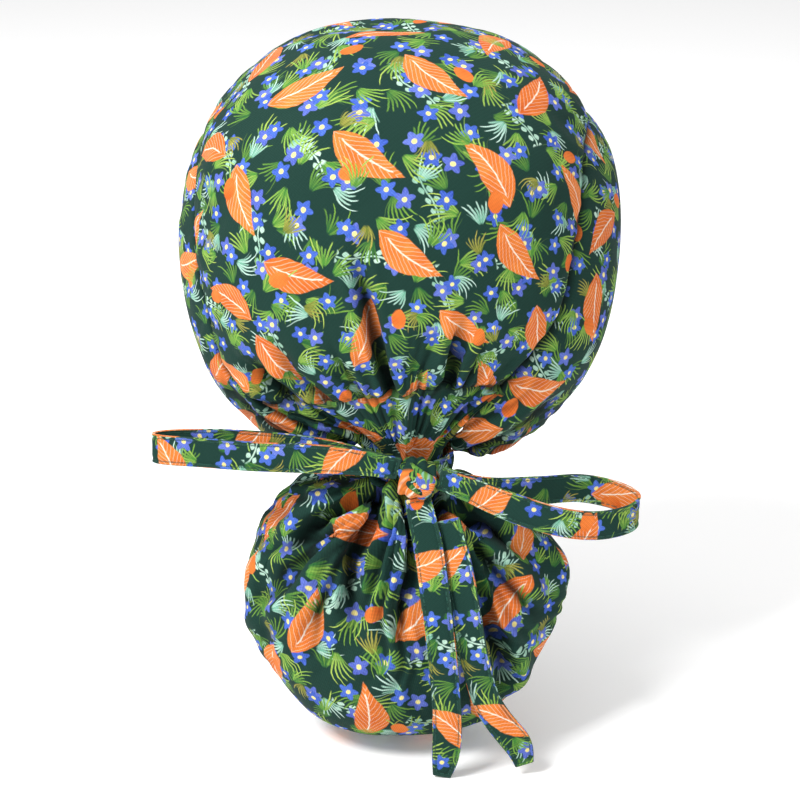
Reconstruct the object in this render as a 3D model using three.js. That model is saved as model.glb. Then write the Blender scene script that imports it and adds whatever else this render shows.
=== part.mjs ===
// A ponytail scrub cap as it is worn: a puffed crown, a band round the face opening, a gathered
// casing at the nape, a pouch for the hair, and two ties that wrap the pouch's neck and end in a bow.
// Millimetres, +Z up, the face towards +Y. The origin is the middle of the head's hollow.
import * as THREE from "three";

// Driving sizes of the cap
const CAP_WIDTH = 222;
const BACK_DEPTH = 112;
const FRONT_DEPTH = 104;
const CROWN_HEIGHT = 109.5;
const NAPE_DROP = 116;
const CROWN_PUFF = 2.2;
const NAPE_PUFF = 2.3;
const CLOTH = 1.4;
const SEAM_GAP = 0.8;
const SEAM_DIP = 2.2;
const HEM_TURN = 1.2;
const HEM_WIDTH = 0.22;
const CREASE_DEPTH = 10;
const CREASE_REACH = 50;

// Driving sizes of the neck, the place where the ties draw the cloth in
const NECK_SIDE = 1.7;
const NECK_INSET = 40;
const NECK_BACK = BACK_DEPTH - NECK_INSET;
const NECK_DROP = 88;
const NECK_RADIUS = 18.4;
const NECK_COLLAR = 7;
const BAND_LIFT = 5;
const END_TUCK = 2.4;
const THROAT_CLEARANCE = 2;
const CORNER_CLEARANCE = 1.4;
const NECK_PLEAT = 1.5;
const PLEATS = 13;

// Driving sizes of the pouch
const POUCH_HALF_WIDTH = 79;
const POUCH_HALF_DEPTH = 46;
const POUCH_DROP = 141;
const POUCH_LEAN = 9;
const SHOULDER_SLOPE = 9;
const SHOULDER_RISE = 3.5;

// Driving sizes of the ties
const TIE_WIDTH = 14;
const TIE_THICK = 1.8;
const WRAP_WIDTH = 11;
const TIE_CLEARANCE = 0.6;
const TAIL_CLEARANCE = 4;
const KNOT_HALF = { side: 9.5, back: 6, up: 8.5 };
const LEFT_BOW = { reach: 117, spread: 14, rise: 13 };
const RIGHT_BOW = { reach: 95, spread: 31, rise: 22 };
const LEFT_TAIL_SIZE = { length: 134, swing: 14 };
const RIGHT_TAIL_SIZE = { length: 130, swing: 51 };

// How finely the soft surfaces are faceted
const CROWN_COLUMNS = 32;
const CROWN_ROWS = 20;
const BAND_ROWS = 5;
const THROAT_COLUMNS = 6;
const HEM_COLUMNS = 6;
const CASING_ROWS = 5;
const POUCH_COLUMNS = 52;
const POUCH_ROWS = 16;
const LOOP_STEPS = 34;
const TAIL_STEPS = 24;

// Sections of the crown from the stitched line above the neck to the seam over the forehead: where
// the left seam, the middle and the right seam lie, as shares of the cap's half width, depth and height.
const CROWN_SECTIONS = [
  { left: [-0.638, -0.713, -0.479], middle: [0.0, -0.953, -0.375], right: [0.438, -0.881, -0.369] },
  { left: [-0.79, -0.605, -0.37], middle: [0.0, -0.985, -0.17], right: [0.565, -0.851, -0.228] },
  { left: [-0.85, -0.575, -0.16], middle: [0.0, -1.0, 0.04], right: [0.69, -0.775, -0.08] },
  { left: [-0.905, -0.489, 0.03], middle: [0.0, -0.95, 0.32], right: [0.745, -0.705, 0.17] },
  { left: [-0.92, -0.385, 0.25], middle: [0.0, -0.77, 0.64], right: [0.785, -0.58, 0.37] },
  { left: [-0.91, -0.2, 0.43], middle: [0.0, -0.45, 0.89], right: [0.8, -0.4, 0.53] },
  { left: [-0.86, 0.06, 0.56], middle: [0.0, 0.0, 1.0], right: [0.81, -0.11, 0.63] },
  { left: [-0.66, 0.33, 0.72], middle: [0.0, 0.45, 0.9], right: [0.66, 0.22, 0.75] },
];

// The seam between the band and the casing from the crown's corner down to the neck: how far along the
// straight way from the neck, and how far off it as shares of that way's length.
const LEFT_THROAT = [
  { along: 0.688, side: -0.003, front: -0.121, up: -0.035 },
  { along: 0.411, side: 0.013, front: -0.178, up: -0.006 },
  { along: 0.172, side: 0.014, front: -0.12, up: 0.008 },
];
const RIGHT_THROAT = [
  { along: 0.802, side: -0.038, front: -0.079, up: -0.023 },
  { along: 0.547, side: -0.031, front: -0.099, up: -0.043 },
  { along: 0.206, side: -0.015, front: -0.07, up: -0.037 },
];

// The edge of the face opening from beside the neck to the middle of the forehead, in shares of the
// cap's half sizes. The other side mirrors it.
const RIM_POINTS = [
  { side: 0.31, front: -0.48, up: -0.785 },
  { side: 0.53, front: -0.3, up: -0.75 },
  { side: 0.69, front: 0.0, up: -0.57 },
  { side: 0.745, front: 0.33, up: -0.33 },
  { side: 0.69, front: 0.615, up: -0.05 },
  { side: 0.42, front: 0.85, up: 0.22 },
  { side: 0.0, front: 0.93, up: 0.33 },
];
const RIM_AT_CORNER = 0.12;
const RIM_AT_FOREHEAD = 0.4;

// Creases of the crown that run up from the neck: their line from foot to head, as shares of the
// way from the middle to a side seam and of the way from the stitched line to the forehead, and their
// depth as a share of a crease's depth.
const CROWN_CREASES = [
  { foot: -0.76, head: -0.88, high: 0.2, depth: 0.9, wide: 0.08 },
  { foot: -0.4, head: -0.5, high: 0.18, depth: 0.3, wide: 0.06 },
  { foot: -0.09, head: -0.2, high: 0.5, depth: 0.6, wide: 0.07 },
  { foot: 0.14, head: 0.12, high: 0.16, depth: 0.4, wide: 0.08 },
  { foot: 0.38, head: 0.5, high: 0.34, depth: 0.6, wide: 0.07 },
  { foot: 0.74, head: 0.8, high: 0.16, depth: 0.4, wide: 0.08 },
];

// Creases of the band that run out from the neck: which side, how far down the band, how deep, how
// wide as a share of the band, and how far they reach. Depth and reach are shares of a crease's sizes.
const BAND_CREASES = [
  { side: -1, down: 0.42, depth: 0.5, wide: 0.16, reach: 0.9 },
  { side: 1, down: 0.36, depth: 0.5, wide: 0.16, reach: 1.1 },
  { side: 1, down: 0.8, depth: 0.3, wide: 0.14, reach: 0.7 },
];

// The pouch from its neck to its foot: how far down, how wide on each side and how deep, as shares of
// its drop, half width and half depth.
const POUCH_SECTIONS = [
  { drop: 0.0, left: 0.225, right: 0.225, deep: 0.39 },
  { drop: 0.01, left: 0.4, right: 0.38, deep: 0.52 },
  { drop: 0.035, left: 0.62, right: 0.56, deep: 0.66 },
  { drop: 0.1, left: 0.8, right: 0.76, deep: 0.8 },
  { drop: 0.22, left: 0.955, right: 0.92, deep: 0.93 },
  { drop: 0.36, left: 1.0, right: 0.97, deep: 1.0 },
  { drop: 0.5, left: 0.985, right: 0.93, deep: 1.0 },
  { drop: 0.61, left: 0.93, right: 0.89, deep: 0.97 },
  { drop: 0.72, left: 0.82, right: 0.8, deep: 0.89 },
  { drop: 0.82, left: 0.69, right: 0.66, deep: 0.77 },
  { drop: 0.9, left: 0.53, right: 0.5, deep: 0.61 },
  { drop: 0.965, left: 0.33, right: 0.32, deep: 0.38 },
  { drop: 1.0, left: 0.0, right: 0.0, deep: 0.0 },
];

// Creases of the pouch that run down from its neck: the angle from straight behind at the top and at
// the end in degrees, the share of the way down where each starts and ends, its depth as a share of a
// crease's depth, and its half width in degrees. A negative depth stands out as a corner.
const POUCH_CREASES = [
  { from: -24, to: -50, start: 0.06, end: 0.44, depth: 0.9, wide: 8 },
  { from: -14, to: -18, start: 0.1, end: 0.62, depth: 0.9, wide: 7 },
  { from: 6, to: 4, start: 0.2, end: 0.8, depth: 0.5, wide: 8 },
  { from: 24, to: 50, start: 0.06, end: 0.88, depth: 0.8, wide: 8 },
  { from: 48, to: 34, start: 0.06, end: 0.5, depth: 0.6, wide: 8 },
  { from: -66, to: -68, start: 0.34, end: 0.82, depth: 0.4, wide: 8 },
  { from: 66, to: 68, start: 0.3, end: 0.7, depth: 0.4, wide: 8 },
  { from: 90, to: 90, start: 0.36, end: 0.62, depth: -0.6, wide: 12 },
  { from: 118, to: 125, start: 0.06, end: 0.6, depth: 0.6, wide: 9 },
  { from: 160, to: 155, start: 0.06, end: 0.7, depth: 0.6, wide: 9 },
  { from: -160, to: -150, start: 0.06, end: 0.6, depth: 0.6, wide: 9 },
  { from: -118, to: -120, start: 0.06, end: 0.55, depth: 0.6, wide: 9 },
];

// The bow's loops from the knot on the near side round to the knot on the far side: how far out from
// the knot's side, how far back from its middle and how far over it, as shares of the loop's sizes.
const LEFT_LOOP = [
  { out: -0.004, back: -0.014, up: 0.423 },
  { out: 0.156, back: 0.079, up: 0.692 },
  { out: 0.369, back: 0.114, up: 0.846 },
  { out: 0.626, back: 0.043, up: 0.885 },
  { out: 0.839, back: -0.100, up: 0.977 },
  { out: 0.950, back: -0.279, up: 1.015 },
  { out: 0.997, back: -0.564, up: 1.015 },
  { out: 0.959, back: -0.814, up: 1.015 },
  { out: 0.848, back: -0.921, up: 1.000 },
  { out: 0.626, back: -0.921, up: 0.923 },
  { out: 0.369, back: -0.743, up: 0.808 },
  { out: 0.173, back: -0.457, up: 0.577 },
  { out: 0.020, back: -0.221, up: 0.338 },
];
const RIGHT_LOOP = [
  { out: 0.003, back: 0.100, up: 0.045 },
  { out: 0.135, back: 0.213, up: -0.114 },
  { out: 0.293, back: 0.294, up: -0.364 },
  { out: 0.472, back: 0.342, up: -0.636 },
  { out: 0.640, back: 0.326, up: -0.841 },
  { out: 0.787, back: 0.229, up: -0.955 },
  { out: 0.914, back: 0.035, up: -0.977 },
  { out: 0.993, back: -0.206, up: -0.955 },
  { out: 0.998, back: -0.448, up: -0.864 },
  { out: 0.893, back: -0.642, up: -0.727 },
  { out: 0.724, back: -0.626, up: -0.568 },
  { out: 0.577, back: -0.481, up: -0.523 },
  { out: 0.429, back: -0.303, up: -0.455 },
  { out: 0.272, back: -0.110, up: -0.364 },
  { out: 0.135, back: -0.013, up: -0.182 },
  { out: 0.014, back: -0.045, up: 0.000 },
];

// The tails from the knot to their tips: how far down and out as shares of the tail's length and swing,
// how far behind the neck's middle they are at least as a share of the pouch's reach, the turn in degrees
// and the share of the tie's width.
const LEFT_TAIL = [
  { down: 0.006, out: -0.021, behind: 0.525, turn: 2, wide: 0.9 },
  { down: 0.067, out: 0.121, behind: 0.644, turn: 4, wide: 0.96 },
  { down: 0.179, out: 0.379, behind: 0.000, turn: 2, wide: 1 },
  { down: 0.336, out: 0.607, behind: 0.000, turn: 0, wide: 1 },
  { down: 0.522, out: 0.793, behind: 0.000, turn: -3, wide: 1 },
  { down: 0.687, out: 0.950, behind: 1.000, turn: -2, wide: 1 },
  { down: 0.821, out: 1.021, behind: 1.000, turn: 4, wide: 1 },
  { down: 0.918, out: 0.964, behind: 1.000, turn: 8, wide: 0.92 },
  { down: 0.996, out: 0.836, behind: 0.983, turn: 4, wide: 0.6 },
];
const RIGHT_TAIL = [
  { down: 0.073, out: 0.271, behind: 0.568, turn: 14, wide: 0.8 },
  { down: 0.169, out: 0.329, behind: 0.000, turn: 20, wide: 0.94 },
  { down: 0.285, out: 0.390, behind: 0.000, turn: 20, wide: 1 },
  { down: 0.446, out: 0.465, behind: 0.000, turn: 16, wide: 1 },
  { down: 0.600, out: 0.547, behind: 0.000, turn: 10, wide: 1 },
  { down: 0.738, out: 0.645, behind: 0.915, turn: 4, wide: 1 },
  { down: 0.827, out: 0.780, behind: 0.932, turn: -10, wide: 1 },
  { down: 0.904, out: 0.937, behind: 0.966, turn: -16, wide: 1 },
  { down: 0.992, out: 1.006, behind: 0.949, turn: -8, wide: 0.66 },
];

const cloth = new THREE.MeshStandardMaterial({ color: 0x1f3f38, roughness: 0.9, metalness: 0 });
const neck = new THREE.Vector3(NECK_SIDE, -NECK_BACK, -NECK_DROP);
const deg = THREE.MathUtils.degToRad;
const smooth = (edge0, edge1, x) => THREE.MathUtils.smoothstep(x, edge0, edge1);
const bell = (x) => Math.exp(-x * x);

// A smooth curve through a column of a table.
function column(rows, pick) {
  const points = rows.map((row) => new THREE.Vector3(...pick(row)));
  return new THREE.CatmullRomCurve3(points, false, "catmullrom", 0.5);
}

const leftSeam = column(CROWN_SECTIONS, (row) => row.left);
const middleLine = column(CROWN_SECTIONS, (row) => row.middle);
const rightSeam = column(CROWN_SECTIONS, (row) => row.right);

// The cap's sizes on the side of the middle that a share lies on.
function sizesAt(share) {
  return new THREE.Vector3(
    CAP_WIDTH / 2,
    share.y < 0 ? BACK_DEPTH : FRONT_DEPTH,
    share.z < 0 ? NAPE_DROP : CROWN_HEIGHT,
  );
}

const shareOf = (point) => point.clone().divide(sizesAt(point));

function puffed(share) {
  const high = smooth(-0.5, 0.5, share.z / share.length());
  const puff = THREE.MathUtils.lerp(NAPE_PUFF, CROWN_PUFF, high);
  return (Math.abs(share.x) ** puff + Math.abs(share.y) ** puff + Math.abs(share.z) ** puff) ** (1 / puff);
}

// The point of the puffed cap in the direction of a share, and its outward normal.
const balloonPoint = (share) => sizesAt(share).multiply(share).divideScalar(puffed(share));

function balloonNormal(share) {
  const unit = share.clone().normalize();
  const side = new THREE.Vector3(-unit.y, unit.x, 0);
  if (side.length() < 1e-3) side.set(1, 0, 0);
  const slope = (towards) =>
    balloonPoint(unit.clone().addScaledVector(towards, 1e-3)).sub(
      balloonPoint(unit.clone().addScaledVector(towards, -1e-3)),
    );
  return slope(side).cross(slope(unit.clone().cross(side))).normalize();
}

// The share on the crown at a place across it (-1 to 1) and up it (0 to 1).
function crownShare(across, up) {
  const left = leftSeam.getPoint(up);
  const right = rightSeam.getPoint(up);
  const middle = middleLine.getPoint(up);
  const half = right.clone().sub(left).multiplyScalar(across / 2);
  const bow = left.add(right).multiplyScalar(0.5).sub(middle).multiplyScalar(across * across);
  return middle.add(half).add(bow);
}

// The small pleats that the ties draw in, by the angle round the neck from straight behind.
const gather = (angle) => Math.cos(PLEATS * angle) * 0.7 + Math.cos(PLEATS * 0.6 * angle + 1) * 0.3;

// The angle round the neck that each place on the cap's lower edge is drawn to.
const CROWN_ARC = deg(64);
const THROAT_ARC = deg(80);
const THROAT_PINCH = 0.91;
const BAND_ARC = deg(130);
const crownAngle = (across) => CROWN_ARC * across;
const bandAngle = (side, down) => side * THREE.MathUtils.lerp(THROAT_ARC, BAND_ARC, down);
const GATHER_AT_SEAM = 1.6;
const LEFT_CORNER_PUFF = 2.5;
const RIGHT_CORNER_PUFF = 4.5;
const CORNER_PUFF_UP = 0.84;
const GATHER_FADE = 0.13;

// A point of the drawn-in neck at a height over its middle, and the direction out of it.
const neckOut = (angle) => new THREE.Vector3(Math.sin(angle), -Math.cos(angle), 0);
const neckCircle = (angle, height) =>
  neck.clone().addScaledVector(neckOut(angle), NECK_RADIUS).add(new THREE.Vector3(0, 0, height));
const neckPoint = (angle, height) =>
  neckCircle(angle, height).addScaledVector(neckOut(angle), NECK_PLEAT * gather(angle));

// The crown's creases at a place across it and up it.
function crownCreases(across, up) {
  return CROWN_CREASES.reduce((sum, crease) => {
    const along = up / crease.high;
    const line = THREE.MathUtils.lerp(crease.foot, crease.head, along);
    const wide = crease.wide * (0.6 + along);
    return sum + CREASE_DEPTH * crease.depth * bell((across - line) / wide) * (1 - smooth(0.3, 1, along));
  }, 0);
}

// The puffs that stand out where the side seams turn to the forehead, by how far up a place is and
// how far it is off the seam.
function cornerPuff(side, up, off) {
  const tall = side < 0 ? LEFT_CORNER_PUFF : RIGHT_CORNER_PUFF;
  return tall * bell((up - CORNER_PUFF_UP) / 0.045) * bell(off / 0.16);
}

function crownFold(across, up) {
  const seamShare = Math.min((1 - Math.abs(across)) * 16, (1 - up) * 20);
  const seam = -SEAM_DIP * (1 - smooth(0, 1, seamShare));
  const stitched = -SEAM_DIP * 0.5 * (1 - smooth(0, 1, up * 24));
  const small = GATHER_AT_SEAM * gather(crownAngle(across)) * Math.exp(-up / GATHER_FADE);
  const edge = smooth(0, 0.12, 1 - Math.abs(across));
  const puff = cornerPuff(Math.sign(across), up, 1 - Math.abs(across));
  return Math.min(seam, stitched) + edge * (small - crownCreases(across, up)) + puff;
}

// Makes one closed solid of an outer and an inner grid of points. Rows run down a column, and a ring
// has its last column joined to its first. A closed foot is a single point in both skins.
function shell(outer, inner, ring, closedFoot) {
  const columns = outer.length;
  const rows = outer[0].length;
  const positions = [];
  const quad = (a, b, c, d) => {
    for (const point of [a, b, c, a, c, d]) positions.push(point.x, point.y, point.z);
  };
  const last = ring ? columns : columns - 1;
  for (let i = 0; i < last; i++) {
    const next = (i + 1) % columns;
    for (let j = 0; j < rows - 1; j++) {
      quad(outer[i][j], outer[next][j], outer[next][j + 1], outer[i][j + 1]);
      quad(inner[i][j], inner[i][j + 1], inner[next][j + 1], inner[next][j]);
    }
    quad(outer[i][0], inner[i][0], inner[next][0], outer[next][0]);
    const foot = rows - 1;
    if (!closedFoot) quad(outer[i][foot], outer[next][foot], inner[next][foot], inner[i][foot]);
  }
  if (!ring) {
    for (let j = 0; j < rows - 1; j++) {
      quad(outer[0][j], outer[0][j + 1], inner[0][j + 1], inner[0][j]);
      quad(outer[last][j], inner[last][j], inner[last][j + 1], outer[last][j + 1]);
    }
  }
  return fromTriangles(positions);
}

// A geometry without the empty triangles that poles leave.
function fromTriangles(positions) {
  const kept = [];
  const [a, b, c] = [new THREE.Vector3(), new THREE.Vector3(), new THREE.Vector3()];
  for (let i = 0; i < positions.length; i += 9) {
    a.fromArray(positions, i);
    b.fromArray(positions, i + 3);
    c.fromArray(positions, i + 6);
    const area = b.clone().sub(a).cross(c.clone().sub(a)).length();
    if (area > 1e-6) kept.push(...positions.slice(i, i + 9));
  }
  const geometry = new THREE.BufferGeometry();
  geometry.setAttribute("position", new THREE.Float32BufferAttribute(kept, 3));
  geometry.computeVertexNormals();
  return geometry;
}

const steps = (count, from, to) =>
  Array.from({ length: count + 1 }, (_, i) => THREE.MathUtils.lerp(from, to, i / count));

// Rows crowd together near the neck, where the folds are narrow.
const crownRows = steps(CROWN_ROWS, 0, 1).map((up) => up ** 1.25);
const crownColumns = steps(CROWN_COLUMNS, -1, 1);

// Moves a share along a direction so that the point on the cap moves by the seam's half gap.
function offSeam(share, towards) {
  const from = balloonPoint(share);
  const distance = balloonPoint(towards).distanceTo(from);
  return share.clone().lerp(towards, SEAM_GAP / 2 / distance);
}

function crownSkins() {
  const heart = crownShare(0, 0.45);
  const outer = [];
  const inner = [];
  for (const across of crownColumns) {
    const outerColumn = [];
    const innerColumn = [];
    for (const up of crownRows) {
      const atEdge = Math.abs(across) === 1 || up === 0 || up === 1;
      const share = atEdge ? offSeam(crownShare(across, up), heart) : crownShare(across, up);
      const normal = balloonNormal(share);
      const point = balloonPoint(share).addScaledVector(normal, crownFold(across, up));
      outerColumn.push(point);
      innerColumn.push(point.clone().addScaledVector(normal, -CLOTH));
    }
    outer.push(outerColumn);
    inner.push(innerColumn);
  }
  return [outer, inner];
}

// The seam between the band and the casing, from the neck up to the crown's corner.
function throatLine(rows, side, corner) {
  const start = neckCircle(side * THROAT_ARC, NECK_COLLAR + BAND_LIFT);
  const way = balloonPoint(corner).sub(start);
  const between = rows.map((row) => {
    const off = new THREE.Vector3(row.side, row.front, row.up).multiplyScalar(way.length());
    return shareOf(start.clone().addScaledVector(way, row.along).add(off));
  });
  const points = [shareOf(start), ...between.reverse(), corner];
  return new THREE.CatmullRomCurve3(points, false, "catmullrom", 0.5);
}
const leftThroat = throatLine(LEFT_THROAT, -1, leftSeam.getPoint(0));
const rightThroat = throatLine(RIGHT_THROAT, 1, rightSeam.getPoint(0));

const besideNeck = (side) => shareOf(neckCircle(side * BAND_ARC, NECK_COLLAR + BAND_LIFT));
const rim = new THREE.CatmullRomCurve3(
  [
    besideNeck(-1),
    ...RIM_POINTS.map((row) => new THREE.Vector3(-row.side, row.front, row.up)),
    ...RIM_POINTS.slice(0, -1).reverse().map((row) => new THREE.Vector3(row.side, row.front, row.up)),
    besideNeck(1),
  ],
  false,
  "catmullrom",
  0.5,
);

// The band's seam edge, from the left of the neck over the forehead to the neck's right, with the
// share of the way round the rim that each place faces.
function bandStations() {
  const throatSteps = steps(THROAT_COLUMNS, 0, 1).slice(0, -1);
  const atThroat = (line, side) =>
    throatSteps.map((share) => ({ share: line.getPoint(share), round: RIM_AT_CORNER * share, side }));
  const atSide = (line, side) =>
    crownRows.map((up, i) => ({
      share: line.getPoint(up),
      round: THREE.MathUtils.lerp(RIM_AT_CORNER, RIM_AT_FOREHEAD, i / CROWN_ROWS),
      side,
      up,
    }));
  const right = [...atThroat(rightThroat, 1), ...atSide(rightSeam, 1)].reverse();
  const top = crownColumns.slice(1, -1).map((across, i) => ({
    share: crownShare(across, 1),
    round: THREE.MathUtils.lerp(RIM_AT_FOREHEAD, 1 - RIM_AT_FOREHEAD, (i + 1) / CROWN_COLUMNS),
    side: Math.sign(across),
  }));
  return [
    ...atThroat(leftThroat, -1),
    ...atSide(leftSeam, -1),
    ...top,
    ...right.map((station) => ({ ...station, round: 1 - station.round })),
  ];
}

const stations = bandStations();
const FIRST = 0;
const LAST = stations.length - 1;

// The band narrows from the puffed crown to the rim that hugs the head.
function bandLoft(index, down) {
  const { share, round } = stations[index];
  const rimShare = rim.getPoint(round);
  const radius = THREE.MathUtils.lerp(puffed(share), puffed(rimShare), down ** 1.7);
  return balloonPoint(share.clone().lerp(rimShare, down)).multiplyScalar(radius);
}

// The band at a place along it and down it: its point, its normal, its fold, and its neck angle.
function bandPlace(index, down) {
  const { side, up = 0 } = stations[index];
  const end = index > LAST / 2 ? LAST : FIRST;
  const angle = bandAngle(side || 1, down);
  const out = neckOut(angle);
  const loft = bandLoft(index, down);
  const away = Math.max(0, loft.distanceTo(neck) - neckCircle(angle, NECK_COLLAR + BAND_LIFT).distanceTo(neck));
  const drawn = index === end ? 1 : Math.exp(-away / 9);
  const round = neckCircle(angle, NECK_COLLAR + BAND_LIFT).sub(bandLoft(end, down));
  const point = loft.addScaledVector(round, drawn);

  const step = 0.02;
  const along = bandLoft(Math.min(index + 1, LAST), down).sub(bandLoft(Math.max(index - 1, FIRST), down));
  const across = bandLoft(index, Math.max(down - step, 0)).sub(bandLoft(index, down + step));
  const normal = along.cross(across).normalize();
  if (down === 0 && drawn < 0.2) normal.copy(balloonNormal(stations[index].share));
  normal.lerp(out, drawn).normalize();

  const creases = BAND_CREASES.reduce((sum, crease) => {
    const here = crease.side === side ? bell((down - crease.down) / crease.wide) : 0;
    const reach = CREASE_REACH * crease.reach;
    return sum + CREASE_DEPTH * crease.depth * here * smooth(0, 10, away) * (1 - smooth(reach * 0.4, reach, away));
  }, 0);
  const seam = -SEAM_DIP * (1 - smooth(0, 1, down * 8));
  const hem = HEM_TURN * smooth(1 - HEM_WIDTH, 1 - HEM_WIDTH / 2, down);
  const small = gather(angle) * THREE.MathUtils.lerp(GATHER_AT_SEAM, NECK_PLEAT, drawn) * Math.exp(-away / 26);
  const puff = cornerPuff(side, up, down * 1.4);
  const fold = small + (seam + hem) * (1 - drawn) - creases * smooth(0, 0.15, down) + puff;
  return { point, normal, fold, angle };
}

function bandSkins() {
  const outer = [];
  const inner = [];
  stations.forEach((station, index) => {
    const outerColumn = [];
    const innerColumn = [];
    const atNeck = index === FIRST || index === LAST;
    const width = bandLoft(index, 0).distanceTo(bandLoft(index, 1));
    for (const share of steps(BAND_ROWS, 0, 1)) {
      const place = bandPlace(index, share);
      const next = bandPlace(index, share === 0 ? 0.05 : share - 0.05).point;
      const point = place.point.clone();
      if (share === 0) point.lerp(next, SEAM_GAP / 2 / (width * 0.05));
      if (atNeck) {
        const inward = bandPlace(index === FIRST ? 1 : LAST - 1, share).point;
        point.add(inward.sub(point).setLength(SEAM_GAP / 2));
      }
      point.addScaledVector(place.normal, place.fold);
      outerColumn.push(point);
      innerColumn.push(point.clone().addScaledVector(place.normal, -CLOTH));
    }
    outer.push(outerColumn.reverse());
    inner.push(innerColumn.reverse());
  });
  return [outer, inner];
}

// A way for the casing from a place on the seam beside it down to the neck.
function seamPath(share, side, angle) {
  const line = side < 0 ? leftThroat : rightThroat;
  const end = neckCircle(side * THROAT_ARC, NECK_COLLAR + BAND_LIFT);
  const turned = neckCircle(angle, NECK_COLLAR + BAND_LIFT).sub(end);
  return (down) => {
    const place = line.getPoint(share * (1 - down));
    const point = balloonPoint(place).multiplyScalar(puffed(place)).addScaledVector(turned, down ** 0.6);
    point.z -= BAND_LIFT * smooth(0.7, 1, down);
    return point;
  };
}

// The edge that the casing is sewn to, once round: the crown's stitched line, the seam down to the
// neck, the band's end, the hem in front of the neck, and back up the other side.
function casingEdge() {
  const crown = crownColumns.map((across) => ({
    point: balloonPoint(crownShare(across, 0)),
    towards: balloonPoint(crownShare(across * 0.98, 0)).sub(balloonPoint(crownShare(across * 0.98, 0.03))),
    normal: balloonNormal(crownShare(across, 0)),
    fold: crownFold(across, 0),
    creases: crownCreases(across, 0),
    angle: crownAngle(across),
    clear: SEAM_GAP / 2 + CORNER_CLEARANCE * bell((1 - Math.abs(across)) / 0.09),
  }));
  const throatEdge = (share, side) => {
    const index = side < 0 ? Math.round(share * THROAT_COLUMNS) : LAST - Math.round(share * THROAT_COLUMNS);
    const place = bandPlace(index, 0);
    const angle = place.angle * THREE.MathUtils.lerp(THROAT_PINCH, CROWN_ARC / THROAT_ARC, share);
    const towards = place.point.clone().sub(bandPlace(index, 0.05).point);
    return { ...place, angle, creases: 0, towards, clear: SEAM_GAP * (1.8 + bell(share / 0.2)), path: seamPath(share, side, angle) };
  };
  const inner = steps(THROAT_COLUMNS, 0, 1).slice(1, -1);
  const leftSide = inner.map((share) => throatEdge(share, -1));
  const rightSide = inner.map((share) => throatEdge(share, 1)).reverse();
  for (const [corner, side] of [[crown[0], -1], [crown[crown.length - 1], 1]]) {
    const path = seamPath(1, side, corner.angle);
    corner.aside = throatEdge(1, side).towards;
    corner.towards.normalize().add(path(0.2).sub(path(0)).normalize());
    corner.path = path;
  }
  const down = new THREE.Vector3(0, 0, -1);
  const bandEnd = (index, share) => {
    const place = bandPlace(index, share);
    const angle = place.angle * (share === 0 ? THROAT_PINCH : 1);
    const point = neckCircle(angle, NECK_COLLAR + BAND_LIFT);
    return { ...place, angle, point, creases: 0, towards: down, clear: END_TUCK };
  };
  const downs = steps(BAND_ROWS, 0, 1);
  const rightEnd = downs.map((share) => bandEnd(LAST, share));
  const leftEnd = downs.map((share) => bandEnd(FIRST, share)).reverse();
  const hem = steps(HEM_COLUMNS, 0, 1).slice(1, -1).map((share) => {
    const angle = THREE.MathUtils.lerp(BAND_ARC, 2 * Math.PI - BAND_ARC, share);
    const lift = NECK_COLLAR + BAND_LIFT + 3 * Math.sin(Math.PI * share);
    const fold = NECK_PLEAT * gather(angle);
    return { point: neckCircle(angle, lift), normal: neckOut(angle), fold, creases: 0, angle, towards: down, clear: 0 };
  });
  return [...crown, ...rightSide, ...rightEnd, ...hem, ...leftEnd, ...leftSide];
}

function casingSkins() {
  const outer = [];
  const inner = [];
  for (const edge of casingEdge().reverse()) {
    const out = neckOut(edge.angle);
    const top = neckCircle(edge.angle, NECK_COLLAR);
    const start = edge.point.clone().add(edge.towards.clone().setLength(edge.clear));
    const reach = start.distanceTo(top);
    const pull = top.clone().addScaledVector(out, reach * 0.16).add(new THREE.Vector3(0, 0, reach * 0.3));
    const drape = new THREE.QuadraticBezierCurve3(start, pull, top);
    const pleat = NECK_PLEAT * gather(edge.angle);
    const outerColumn = [];
    const innerColumn = [];
    for (const share of steps(CASING_ROWS, 0, 1)) {
      const normal = edge.normal.clone().lerp(out, smooth(0, 0.9, share)).normalize();
      const belly = Math.sin(Math.PI * share) * Math.min(reach / 20, 1);
      const fold = THREE.MathUtils.lerp(edge.fold, pleat, share) + belly * (pleat * 0.8 - edge.creases * 0.35);
      const shift = edge.towards.clone().setLength(edge.clear * (1 - share));
      const aside = (edge.aside ?? edge.towards).clone().setLength(THROAT_CLEARANCE * Math.sin(Math.PI * share));
      const base = edge.path ? edge.path(share).add(shift).add(aside) : drape.getPoint(share);
      const point = base.addScaledVector(normal, fold);
      outerColumn.push(point);
      innerColumn.push(point.clone().addScaledVector(normal, -CLOTH));
    }
    const foot = neckPoint(edge.angle, SEAM_GAP / 2);
    outerColumn.push(foot);
    innerColumn.push(foot.clone().addScaledVector(out, -CLOTH));
    outer.push(outerColumn);
    inner.push(innerColumn);
  }
  return [outer, inner];
}

// The pouch's size and middle at a share of the way down it.
const pouchWidths = column(POUCH_SECTIONS, (row) => [row.left, row.right, row.deep]);
const pouchDrops = column(POUCH_SECTIONS, (row) => [row.drop, 0, 0]);

function pouchRow(down) {
  const widths = pouchWidths.getPoint(down);
  const drop = pouchDrops.getPoint(down).x;
  const height = neck.z - NECK_COLLAR - (POUCH_DROP - NECK_COLLAR) * drop;
  return { left: widths.x, right: widths.y, deep: widths.z, drop, height, lean: POUCH_LEAN * smooth(0, 0.5, drop) };
}

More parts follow.
